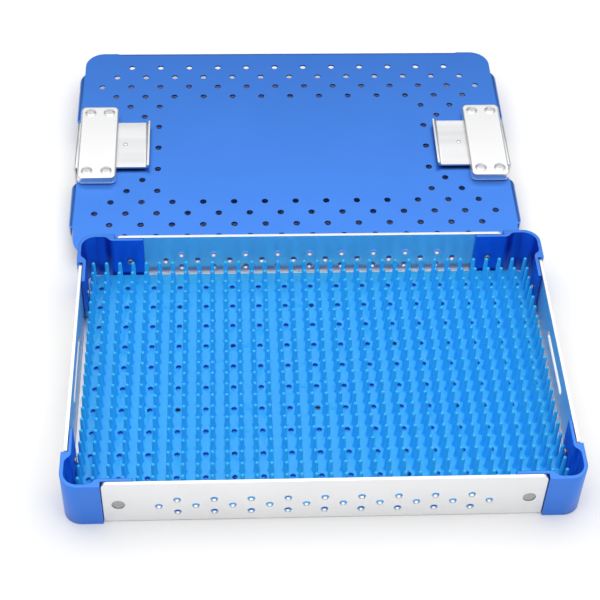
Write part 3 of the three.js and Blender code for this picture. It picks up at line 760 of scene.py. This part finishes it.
def bent_rail(name, wall, tray):
    """A rail with its ledge, standing as a front wall: its outer face towards -Y."""
    axis = wall_axis[wall]
    other = "y" if axis == "x" else "x"
    half = rail_half[axis]
    face = rail_face[other]
    ledge_half = tongue_end[0 if axis == "x" else 1] - fit
    piece = block(name, (-half, -face, 0), (half, -face + tray.sheet, tray_height))
    cut_across(piece, 2, [tray.sheet])
    cut_across(piece, 0, [-ledge_half, ledge_half])

    def foot(item):
        spot = item.calc_center_median()
        return item.normal.y > 0.9 and spot.z < tray.sheet and abs(spot.x) < ledge_half
    push(piece, foot, (0, face - tray.sheet - ledge_edge[other], 0))
    clear_flats(piece)

    def top_corner(edge):
        spot = middle_of(edge)
        return along(edge, 1) and near(spot.z, tray_height)

    def bent_foot(edge):
        spot = middle_of(edge)
        return along(edge, 0) and near(spot.z, 0) and near(spot.y, -face)
    round_edges(piece, top_corner, tray.rail_corner, 8)
    round_edges(piece, bent_foot, tray.bend, 5)
    soften(piece, soft_edge)
    return piece


def drill_wall(piece, wall, rivet):
    """The rivet holes of a rail that still stands as a front wall."""
    back = Matrix.Rotation(-wall_turn[wall], 4, "Z")
    for node, side, u, height in wall_rivets():
        if side == wall:
            bit = rivet_bit(rivet)
            settle(bit, back @ wall_matrix(wall, u, height))
            combine(piece, bit)


def hand_over_rail(piece, wall):
    shade(piece)
    settle(piece, tray_place @ Matrix.Rotation(wall_turn[wall], 4, "Z"))
    hand_over(piece, "tray", "silver_anodized", f"{wall}_rail")


class MESH_OT_box_long_rails(Operator):
    """Front and rear rail, each with three rows of perforations"""
    bl_idname = "mesh.box_long_rails"
    bl_label = "Long rails"

    def execute(self, context):
        tray = context.scene.box_tray
        lie_down = Matrix.Translation((0, -rail_face["y"], 0)) @ Matrix.Rotation(-pi / 2, 4, "X")
        places = []
        for row in (-1, 0, 1):
            shift = tray.hole_pitch / 2 if row == 0 else 0
            first = -tray.columns - 1 if row == 0 else -tray.columns
            for i in range(first, tray.columns + 1):
                places.append((i * tray.hole_pitch + shift, -tray.middle_row - row * tray.row_pitch))
        for wall in ("front", "rear"):
            piece = bent_rail(f"{wall}_rail_sheet", wall, tray)
            drill(piece, places, tray.hole_radius, 0, tray.sheet, 0.3 * mm, lie_down)
            drill_wall(piece, wall, context.scene.box_rivet)
            hand_over_rail(piece, wall)
        return {"FINISHED"}


class MESH_OT_box_side_rails(Operator):
    """Left and right rail, each with the slot that a latch hook enters"""
    bl_idname = "mesh.box_side_rails"
    bl_label = "Side rails"

    def execute(self, context):
        tray = context.scene.box_tray
        for wall, sign in (("left", -1), ("right", 1)):
            piece = bent_rail(f"{wall}_rail_sheet", wall, tray)
            half = Vector((tray.slot_length / 2, past, tray.slot_height / 2))
            middle = Vector((sign * tray.slot_shift, -rail_face["x"] + tray.sheet / 2, tray.slot_centre))
            slot = block("slot", middle - half, middle + half)
            round_edges(slot, lambda edge: along(edge, 1), tray.slot_height / 2 - tiny, 8)
            combine(piece, slot)
            drill_wall(piece, wall, context.scene.box_rivet)
            hand_over_rail(piece, wall)
        return {"FINISHED"}


class MESH_OT_box_wall_rivets(Operator):
    """Rivets that hold the rails to the posts' tongues"""
    bl_idname = "mesh.box_wall_rivets"
    bl_label = "Wall rivets"

    def execute(self, context):
        rivet = context.scene.box_rivet
        tray = context.scene.box_tray
        inside = tray.sheet + tray.tongue + 2 * fit
        tail = inside + rivet.tail_thick
        edge = fine_edge
        shape = turned("wall_rivet", [
            (0, rivet.sink), (rivet.head - edge, rivet.sink), (rivet.head, rivet.sink + edge),
            (rivet.head, rivet.sink + rivet.head_thick), (rivet.shank, rivet.sink + rivet.head_thick),
            (rivet.shank, inside), (rivet.tail, inside), (rivet.tail, tail - 2 * edge),
            (rivet.tail - edge, tail - edge / 2), (rivet.tail - 3 * edge, tail),
            (rivet.tail_bore + edge, tail), (rivet.tail_bore, tail - edge),
            (rivet.tail_bore, tail - rivet.bore_depth), (0, tail - rivet.bore_depth)], 32)
        shade(shape)
        for node, wall, u, height in list(wall_rivets()):
            piece = copied(shape, node.replace("wall_", ""))
            settle(piece, tray_place @ wall_matrix(wall, u, height))
            hand_over(piece, "tray", "rivet_metal", node)
        discard(shape)
        return {"FINISHED"}


def drain_places(tray):
    """Staggered rows of the bottom plate's holes, clear of the ledges."""
    reach_x, reach_y = ledge_edge["x"] - tray.drain_margin, ledge_edge["y"] - tray.drain_margin
    columns, rows = int(reach_x / tray.drain_pitch) + 1, int(reach_y / tray.drain_row)
    for j in range(-rows, rows + 1):
        for i in range(-columns, columns + 1):
            x = (i + j % 2 / 2) * tray.drain_pitch
            if abs(x) <= reach_x:
                yield x, j * tray.drain_row


def flush_rivets():
    """The flush rivets' nodes and places from the tray's middle."""
    for node in sorted(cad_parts):
        if node.startswith("bottom_rivet_"):
            yield node, (low(node) + high(node)) / 2 - tray_middle


class MESH_OT_box_bottom(Operator):
    """Perforated bottom plate and the flush rivets that hold it on the ledges"""
    bl_idname = "mesh.box_bottom"
    bl_label = "Bottom plate"

    def execute(self, context):
        tray = context.scene.box_tray
        rivet = context.scene.box_rivet
        bottom = low("bottom_plate") - tray_middle
        top = high("bottom_plate") - tray_middle
        plate = block("bottom_sheet", bottom, top)
        round_upright(plate, corners_of(bottom, top), tray.plate_corner, 6)
        soften(plate, fine_edge, 1)
        drill(plate, drain_places(tray), tray.drain_radius, bottom.z, top.z, steps=16)
        shank = rivet.shank
        head = rivet.flush_head
        base, crown = rivet.flush_sink, top.z - rivet.flush_sink
        flush = turned("flush_rivet", [
            (0, base), (head, base), (shank, base + rivet.flush_depth), (shank, crown - rivet.flush_depth),
            (head, crown), (0, crown)], round_steps)
        shade(flush)
        bit = turned("bit", [
            (0, -past), (head + fit, -past), (head + fit, base), (shank + fit, base + rivet.flush_depth),
            (shank + fit, crown - rivet.flush_depth), (head + fit, crown), (head + fit, top.z + past),
            (0, top.z + past)])
        at_places(bit, [(spot.x, spot.y, 0) for node, spot in flush_rivets()])
        for wall in ("front", "rear", "left", "right"):
            rail = bpy.data.objects[f"{wall}_rail_sheet"]
            cutter = copied(bit, "ledge_bit")
            settle(cutter, tray_place)
            combine(rail, cutter)
            rail.data.materials.clear()
            rail.data.materials.append(finish("silver_anodized"))
        combine(plate, bit)
        for node, spot in flush_rivets():
            piece = copied(flush, node.replace("bottom_", "flush_"))
            settle(piece, tray_place @ Matrix.Translation((spot.x, spot.y, 0)))
            hand_over(piece, "tray", "rivet_metal", node)
        discard(flush)
        shade(plate)
        settle(plate, tray_place)
        hand_over(plate, "tray", "blue_anodized", "bottom_plate")
        return {"FINISHED"}


class MESH_OT_box_mat(Operator):
    """Silicone mat with round-tipped fingers and drain holes"""
    bl_idname = "mesh.box_mat"
    bl_label = "Finger mat"

    def execute(self, context):
        mat = context.scene.box_mat
        corner_a = low("silicone_mat") - tray_middle
        corner_b = high("silicone_mat") - tray_middle
        tip_height = corner_b.z
        floor_height = corner_a.z + mat.thick
        corner_b.z = floor_height
        piece = block("finger_mat", corner_a, corner_b)
        round_upright(piece, corners_of(corner_a, corner_b), context.scene.box_tray.plate_corner, 6)
        soften(piece, 0.25 * mm)
        columns = int((corner_b.x - mat.side_edge) / mat.pitch + 0.5)
        rows = int((corner_b.y - mat.end_edge) / mat.pitch)
        fingers = turned("fingers", [
            (0, corner_a.z + mat.thick / 2), (mat.foot, corner_a.z + mat.thick / 2),
            (mat.foot, floor_height), ((mat.foot + mat.root) / 2, floor_height + mat.foot - mat.root),
            (mat.root, floor_height + 2 * (mat.foot - mat.root)),
            (mat.tip, tip_height - mat.tip),
            (mat.tip * cos(pi / 6), tip_height - mat.tip * (1 - sin(pi / 6))),
            (mat.tip * cos(pi / 3), tip_height - mat.tip * (1 - sin(pi / 3))), (0, tip_height)], 8)
        at_places(fingers, [((0.5 - columns) * mat.pitch, -rows * mat.pitch, 0)])
        apply_modifier(fingers, "ARRAY", count=2 * columns, use_relative_offset=False,
                       use_constant_offset=True, constant_offset_displace=(mat.pitch, 0, 0))
        apply_modifier(fingers, "ARRAY", count=2 * rows + 1, use_relative_offset=False,
                       use_constant_offset=True, constant_offset_displace=(0, mat.pitch, 0))
        combine(piece, fingers, "UNION")
        places = [(2 * i * mat.pitch, (2 * j - 0.5) * mat.pitch)
                  for i in range(-(columns // 2), columns // 2 + 1)
                  for j in range(1 - rows // 2, rows // 2 + 1)]
        drill(piece, places, mat.drain, corner_a.z, floor_height, 0.2 * mm, steps=12)
        choose_only(piece)
        bpy.ops.object.shade_smooth_by_angle(angle=radians(50))
        settle(piece, tray_place)
        hand_over(piece, "mat", "silicone", "silicone_mat")
        return {"FINISHED"}


# Lid, along its own axes with its top face at zero

def plate_half(lid):
    """Half the lid plate's length and depth inside its flanges."""
    corner = lid_box("lid_plate")[1]
    return corner.x - lid.edge_x, corner.y - lid.edge_y


def lid_holes(lid):
    """Places of the lid's perforations: bands along the edges, clear of the latches."""
    half_x, half_y = plate_half(lid)
    cover_low, cover_high = lid_box("right_latch_cover")
    slider_low, slider_high = lid_box("right_latch_slider")
    rows = int((half_y - lid.hole_edge) / lid.row_pitch)
    columns = int(half_x / lid.hole_pitch) + 1
    for j in range(-rows, rows + 1):
        shift = 0.5 if j % 2 == 0 else 0
        for i in range(-columns, columns + 1):
            x, y = (i + shift) * lid.hole_pitch, j * lid.row_pitch
            edge_x, edge_y = half_x - abs(x), half_y - abs(y)
            under_cover = abs(x) > cover_low.x - lid.clear_x and abs(y) < cover_high.y + lid.clear_y
            under_slider = (abs(x) > slider_low.x - lid.clear_slider
                            and abs(y) < slider_high.y + lid.clear_slider)
            in_band = edge_y <= lid.band_y or (edge_x <= lid.band_x and not under_cover and not under_slider)
            if in_band and min(edge_x, edge_y) >= lid.hole_edge and edge_x + edge_y >= lid.hole_corner:
                yield x, y


def latch_rivet_places(side):
    """Places of one latch's four rivets."""
    for end_name in ("front", "rear"):
        for edge_name in ("inner", "outer"):
            box = lid_box(f"{side}_latch_rivet_{end_name}_{edge_name}")
            yield (box[0] + box[1]) / 2


def flange(lid, seam, reach, drop, start, stop):
    """A bent edge along Y from start to stop. It meets the plate at x = seam, a hair inside it, and its
    outer face is at x = reach."""
    inner, back = seam - 2 * tiny, reach - lid.sheet
    piece = prism("flange", [(inner, 0), (reach, 0), (reach, -drop), (back, -drop), (back, -lid.sheet),
                             (inner, -lid.sheet)], -stop, -start)
    round_upright(piece, [(reach, 0)], lid.bend, 8)
    round_upright(piece, [(back, -lid.sheet)], lid.bend - lid.sheet, 8)
    settle(piece, Matrix.Rotation(pi / 2, 4, "X"))
    return piece


def side_flange(lid, half_x, drop, start, stop, start_slant, stop_slant):
    """A flange on the lid's right side, with both ends cut slantwise in plan."""
    reach = half_x + lid.edge_x
    inner = reach - lid.bend - 2 * past
    ends = [(reach, start + start_slant), (reach, stop - stop_slant)]
    plan = prism("plan", [(inner, start), (half_x, start), *ends, (half_x, stop), (inner, stop)],
                 -drop - past, past)
    round_upright(plan, ends, lid.flange_corner, 4)
    piece = flange(lid, half_x, reach, drop, start, stop)
    combine(piece, plan, "INTERSECT")
    return piece


class MESH_OT_box_lid_plate(Operator):
    """Perforated lid with rounded corners and short bent flanges"""
    bl_idname = "mesh.box_lid_plate"
    bl_label = "Lid plate"

    def execute(self, context):
        lid = context.scene.box_lid
        drop = -lid_box("lid_plate")[0].z
        half_x, half_y = plate_half(lid)
        face_y = half_y + lid.edge_y
        seam = face_y - lid.bend - fit
        end_x = rail_half["x"] + fit - lid.setback
        end_y = rail_half["y"] + fit + lid.beyond
        low_corner, high_corner = Vector((-half_x, -half_y, -lid.sheet)), Vector((half_x, half_y, 0))
        piece = block("lid_sheet", low_corner, high_corner)
        round_upright(piece, corners_of(low_corner, high_corner), lid.corner, 12)
        for sign in (-1, 1):
            combine(piece, block("bend_room", (-end_x, sign * seam, -lid.sheet - past),
                                 (end_x, sign * (face_y + past), past)))
            edge = flange(lid, seam, face_y, drop, -end_x, end_x)
            settle(edge, Matrix.Rotation(sign * pi / 2, 4, "Z"))
            combine(piece, edge, "UNION")
        for start, stop, start_slant, stop_slant in (
                (lid.notch_rear, end_y, lid.notch_slant, lid.corner_slant),
                (-end_y, lid.notch_front, lid.corner_slant, lid.notch_slant)):
            edge = side_flange(lid, half_x, drop, start, stop, start_slant, stop_slant)
            combine(piece, mirrored(edge, "left_flange", x=-1), "UNION")
            combine(piece, edge, "UNION")
        face_outwards(piece, 5 * tiny)
        clear_flats(piece)
        soften(piece, soft_edge)
        face_outwards(piece)
        drill(piece, list(lid_holes(lid)), lid.hole_radius, -lid.sheet, 0)
        shank = context.scene.box_rivet.shank + fit
        rivets = [(spot.x, spot.y) for side in ("left", "right") for spot in latch_rivet_places(side)]
        drill(piece, rivets, shank, -lid.sheet, 0)
        shade(piece)
        settle(piece, lid_place)
        hand_over(piece, "lid", "blue_anodized", "lid_plate")
        return {"FINISHED"}


def hand_over_pair(piece, name, body, slot, node):
    """Shades a right-hand latch piece and makes its left-hand twin."""
    shade(piece)
    for side, x in (("left", -1), ("right", 1)):
        twin = mirrored(piece, f"{side}_{name}", x)
        settle(twin, lid_place)
        hand_over(twin, body.format(side), slot, f"{side}_{node}")
    discard(piece)


def spring_bed(latch, bottom, top):
    """The room of a latch's two springs, as blocks between two heights."""
    cover_low, cover_high = lid_box("right_latch_cover")
    beds = []
    for end_name in ("front", "rear"):
        box = lid_box(f"right_latch_spring_{end_name}")
        beds.append(block("bed", (cover_low.x + latch.pocket_end, box[0].y - fit, bottom),
                          (cover_high.x - latch.pocket_end, box[1].y + fit, top)))
    return beds


class MESH_OT_box_latch_covers(Operator):
    """Latch covers with counterbores and a tunnel for the slider, and the guide plates under them"""
    bl_idname = "mesh.box_latch_covers"
    bl_label = "Latch covers"

    def execute(self, context):
        latch = context.scene.box_latch
        shank = context.scene.box_rivet.shank + fit
        bottom, top = lid_box("right_latch_cover")
        rivets = [(spot.x, spot.y) for spot in latch_rivet_places("right")]
        cover = block("cover", bottom, top)
        round_upright(cover, corners_of(bottom, top), latch.cover_corner, 8)

        def upper(edge):
            return near(middle_of(edge).z, top.z)

        def lower(edge):
            return near(middle_of(edge).z, bottom.z)
        round_edges(cover, upper, latch.cover_edge, 4)
        round_edges(cover, lower, fine_edge, 1)
        slider_low, slider_high = lid_box("right_latch_slider")
        roof = bottom.z + latch.sheet + fit
        combine(cover, block("tunnel", (bottom.x - past, slider_low.y - fit, 0),
                             (top.x + past, slider_high.y + fit, roof)))
        spring_top = lid_box("right_latch_spring_front")[1].z + fit
        for bed in spring_bed(latch, bottom.z, spring_top):
            combine(cover, bed)
        sunk = top.z - latch.sunk_depth
        rim = 0.3 * mm
        wide = latch.sunk_radius
        bit = turned("bit", [(0, 0), (shank, 0), (shank, sunk), (wide - rim, sunk), (wide, sunk + rim),
                             (wide, top.z - rim), (wide + rim / 2, top.z - rim / 4),
                             (wide + rim + past, top.z + past), (0, top.z + past)], 32)
        at_places(bit, [(x, y, 0) for x, y in rivets])
        combine(cover, bit)
        hand_over_pair(cover, "cover", "lid", "silver_anodized", "latch_cover")

        bottom, top = lid_box("right_latch_guide")
        guide = block("guide", bottom, top)
        round_upright(guide, corners_of(bottom, top), latch.cover_corner, 8)
        soften(guide, fine_edge, 1)
        drill(guide, rivets, shank, bottom.z, top.z)
        hand_over_pair(guide, "guide", "lid", "silver_anodized", "latch_guide")
        return {"FINISHED"}


class MESH_OT_box_sliders(Operator):
    """Bent sliders: a finger lip at one end and a hook at the other"""
    bl_idname = "mesh.box_sliders"
    bl_label = "Sliders"

    def execute(self, context):
        latch = context.scene.box_latch
        cover_low, cover_high = lid_box("right_latch_cover")
        corner_a, corner_b = lid_box("right_latch_slider")
        sheet = latch.sheet
        inner, outer = corner_a.x, corner_b.x
        base = cover_low.z
        hook = corner_a.z
        back = outer - sheet
        lip = base + sheet + latch.lip
        tip = back - latch.nose
        outline = [(inner, base), (back, base), (back, hook + sheet), (tip, hook + sheet), (tip, hook),
                   (outer, hook), (outer, base + sheet), (inner + sheet, base + sheet),
                   (inner + sheet, lip), (inner, lip)]
        piece = prism("slider", outline, corner_a.y, corner_b.y)
        round_upright(piece, [(outer, hook), (outer, base + sheet)], latch.bend + sheet, 6)
        round_upright(piece, [(back, base), (back, hook + sheet)], latch.bend, 4)
        round_upright(piece, [(inner, base)], latch.lip_bend + sheet, 8)
        round_upright(piece, [(inner + sheet, base + sheet)], latch.lip_bend, 6)
        soften(piece, 0.3 * mm)
        settle(piece, Matrix.Rotation(pi / 2, 4, "X"))
        face_outwards(piece)
        top = base + sheet
        radius, rise = latch.stop_radius, latch.stop_height
        dome = [(radius * cos(step * pi / 12), top + rise * sin(step * pi / 12)) for step in range(6)]
        boss = turned("boss", [(0, top - sheet / 2), (radius, top - sheet / 2), *dome, (0, top + rise)])
        at_places(boss, [(cover_low.x - latch.travel - radius - fit, 0, 0)])
        combine(piece, boss, "UNION")
        for bed in spring_bed(latch, 0, top + past):
            combine(piece, bed)
        hand_over_pair(piece, "slider", "{}_slider", "silver_brushed", "latch_slider")
        return {"FINISHED"}


class MESH_OT_box_latch_rivets(Operator):
    """Rivets that hold each latch cover and its guide plate to the lid"""
    bl_idname = "mesh.box_latch_rivets"
    bl_label = "Latch rivets"

    def execute(self, context):
        latch = context.scene.box_latch
        shank = context.scene.box_rivet.shank
        base, top = [corner.z for corner in lid_box("right_latch_rivet_front_inner")]
        seat = lid_box("right_latch_cover")[1].z - latch.sunk_depth + fit
        under = -context.scene.box_lid.sheet - fit
        rise = top - seat
        edge = 0.5 * mm
        shape = turned("latch_rivet", [
            (0, base), (latch.tail - edge, base), (latch.tail, base + edge), (latch.tail, under),
            (shank, under), (shank, seat), (latch.head, seat), (latch.head, seat + rise * 0.3),
            (latch.head - edge, seat + rise * 0.75), (latch.head * 0.65, seat + rise * 0.93),
            (latch.head * 0.35, top), (0, top)], 32)
        combine(shape, block("slit", (-latch.slit / 2, -latch.slit_wide / 2, top - latch.slit_wide),
                             (latch.slit / 2, latch.slit_wide / 2, top + past)))
        shade(shape)
        for side in ("left", "right"):
            for end_name in ("front", "rear"):
                for edge_name in ("inner", "outer"):
                    node = f"{side}_latch_rivet_{end_name}_{edge_name}"
                    box = lid_box(node)
                    spot = (box[0] + box[1]) / 2
                    piece = copied(shape, f"{side}_rivet_{end_name}_{edge_name}")
                    settle(piece, lid_place @ Matrix.Translation((spot.x, spot.y, 0)))
                    hand_over(piece, "lid", "rivet_silver", node)
        discard(shape)
        return {"FINISHED"}


class MESH_OT_box_springs(Operator):
    """Return springs in the latches, built at one length; in the box they shorten as a slider moves out"""
    bl_idname = "mesh.box_springs"
    bl_label = "Return springs"

    def execute(self, context):
        latch = context.scene.box_latch
        for side, sign in (("left", -1), ("right", 1)):
            for end_name in ("front", "rear"):
                node = f"{side}_latch_spring_{end_name}"
                box = lid_box(node)
                coil = (box[1].z - box[0].z) / 2 - latch.wire
                span = box[1].x - box[0].x - 2 * latch.wire
                bpy.ops.mesh.primitive_circle_add(vertices=10, radius=latch.wire, rotation=(pi / 2, 0, 0),
                                                  location=(coil, 0, 0))
                piece = bpy.context.object
                piece.name = f"{side}_spring_{end_name}"
                bpy.ops.object.transform_apply(location=True, rotation=True, scale=True)
                apply_modifier(piece, "SCREW", axis="Z", angle=2 * pi * latch.turns, screw_offset=span,
                               steps=16 * latch.turns, render_steps=16 * latch.turns)
                with editing_all(piece):
                    bpy.ops.mesh.fill_holes(sides=0)
                face_outwards(piece)
                choose_only(piece)
                bpy.ops.object.shade_smooth_by_angle(angle=radians(50))
                middle = (box[0] + box[1]) / 2
                settle(piece, lid_place @ Matrix.Translation((box[0].x + latch.wire, middle.y, middle.z))
                       @ Matrix.Rotation(pi / 2, 4, "Y"))
                hand_over(piece, "lid", "spring_steel", node)
                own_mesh(piece)
        return {"FINISHED"}


# Stage

def stage_floor(colours):
    """A wide pale table."""
    bpy.ops.mesh.primitive_plane_add(size=6)
    floor = bpy.context.object
    floor.name = "table"
    shader = Shader("table")
    speckle = shader.noise(40, 2)
    base = shader.mix(speckle * 0.2 + 0.5, rgba(colours.floor, 0.99), rgba(colours.floor, 1.01))
    floor.data.materials.append(shader.surface(base_color=base, roughness=0.9))


def stage_world(stage):
    """Plain surroundings, darker at eye level than overhead."""
    world = bpy.data.worlds.new("surroundings")
    bpy.context.scene.world = world
    sky = Shader("surroundings", world)
    way = sky.node("ShaderNodeTexCoord", output="Generated")
    height = sky.node("ShaderNodeSeparateXYZ", inputs={"Vector": way}, output="Z")
    height = sky.maths("MAXIMUM", height, 0)
    level = height * height * (stage.zenith - stage.horizon) + stage.horizon
    light = sky.node("ShaderNodeBackground", inputs={"Strength": level})
    sky.node("ShaderNodeOutputWorld", inputs={"Surface": light})


def stage_lamp(stage):
    """A wide soft box that hangs level over the set, and its power worked out from its radiance."""
    bpy.ops.object.light_add(type="AREA", location=(0, 0, stage.lamp_high))
    lamp = bpy.context.object
    lamp.name = "soft_box"
    lamp.data.shape = "RECTANGLE"
    lamp.data.size = stage.lamp_wide
    lamp.data.size_y = stage.lamp_deep
    lamp.data.energy = stage.lamp * pi * stage.lamp_wide * stage.lamp_deep


def stage_camera(stage):
    """The camera at the photograph's viewpoint, set from the tray's middle."""
    bpy.ops.object.camera_add()
    camera = bpy.context.object
    camera.data.lens = stage.lens
    camera.data.sensor_width = 36
    camera.data.clip_start = 0.01
    level = cos(stage.pitch)
    forward = Vector((sin(stage.yaw) * level, cos(stage.yaw) * level, -sin(stage.pitch)))
    right = Vector((cos(stage.yaw), -sin(stage.yaw), 0))
    up = right.cross(forward)
    rolled_right = cos(stage.roll) * right + sin(stage.roll) * up
    rolled_up = cos(stage.roll) * up - sin(stage.roll) * right
    turn = Matrix((rolled_right, rolled_up, -forward)).transposed().to_4x4()
    eye = tray_middle + Vector((stage.eye_x, stage.eye_y, stage.eye_z))
    camera.matrix_world = Matrix.Translation(eye) @ turn
    bpy.context.scene.camera = camera


class SCENE_OT_box_stage(Operator):
    """Pale table, a soft lamp, plain surroundings and the camera"""
    bl_idname = "scene.box_stage"
    bl_label = "Stage"

    def execute(self, context):
        stage = context.scene.box_stage
        stage_floor(context.scene.box_colours)
        stage_world(stage)
        stage_lamp(stage)
        stage_camera(stage)
        context.scene.view_settings.view_transform = "Standard"
        return {"FINISHED"}


steps = (MESH_OT_box_corner_posts, MESH_OT_box_long_rails, MESH_OT_box_side_rails, MESH_OT_box_wall_rivets,
         MESH_OT_box_bottom, MESH_OT_box_mat, MESH_OT_box_lid_plate, MESH_OT_box_latch_covers,
         MESH_OT_box_sliders, MESH_OT_box_latch_rivets, MESH_OT_box_springs, SCENE_OT_box_stage)
settings = {"box_tray": TraySizes, "box_rivet": RivetSizes, "box_mat": MatSizes, "box_lid": LidSizes,
            "box_latch": LatchSizes, "box_colours": Colours, "box_stage": StageSettings}


class VIEW3D_PT_sterilization_box(Panel):
    """Lists the steps that build the box"""
    bl_label = "Sterilization box"
    bl_idname = "VIEW3D_PT_sterilization_box"
    bl_space_type = "VIEW_3D"
    bl_region_type = "UI"
    bl_category = "Sterilization box"

    def draw(self, context):
        for step in steps:
            self.layout.operator(step.bl_idname)


def register():
    for kind in (*settings.values(), *steps, VIEW3D_PT_sterilization_box):
        bpy.utils.register_class(kind)
    for name, kind in settings.items():
        setattr(bpy.types.Scene, name, PointerProperty(type=kind))


def unregister():
    for name in settings:
        delattr(bpy.types.Scene, name)
    for kind in (VIEW3D_PT_sterilization_box, *reversed(steps), *settings.values()):
        bpy.utils.unregister_class(kind)


def main():
    register()
    for step in steps:
        group, name = step.bl_idname.split(".")
        getattr(getattr(bpy.ops, group), name)()


if __name__ == "__main__":
    main()
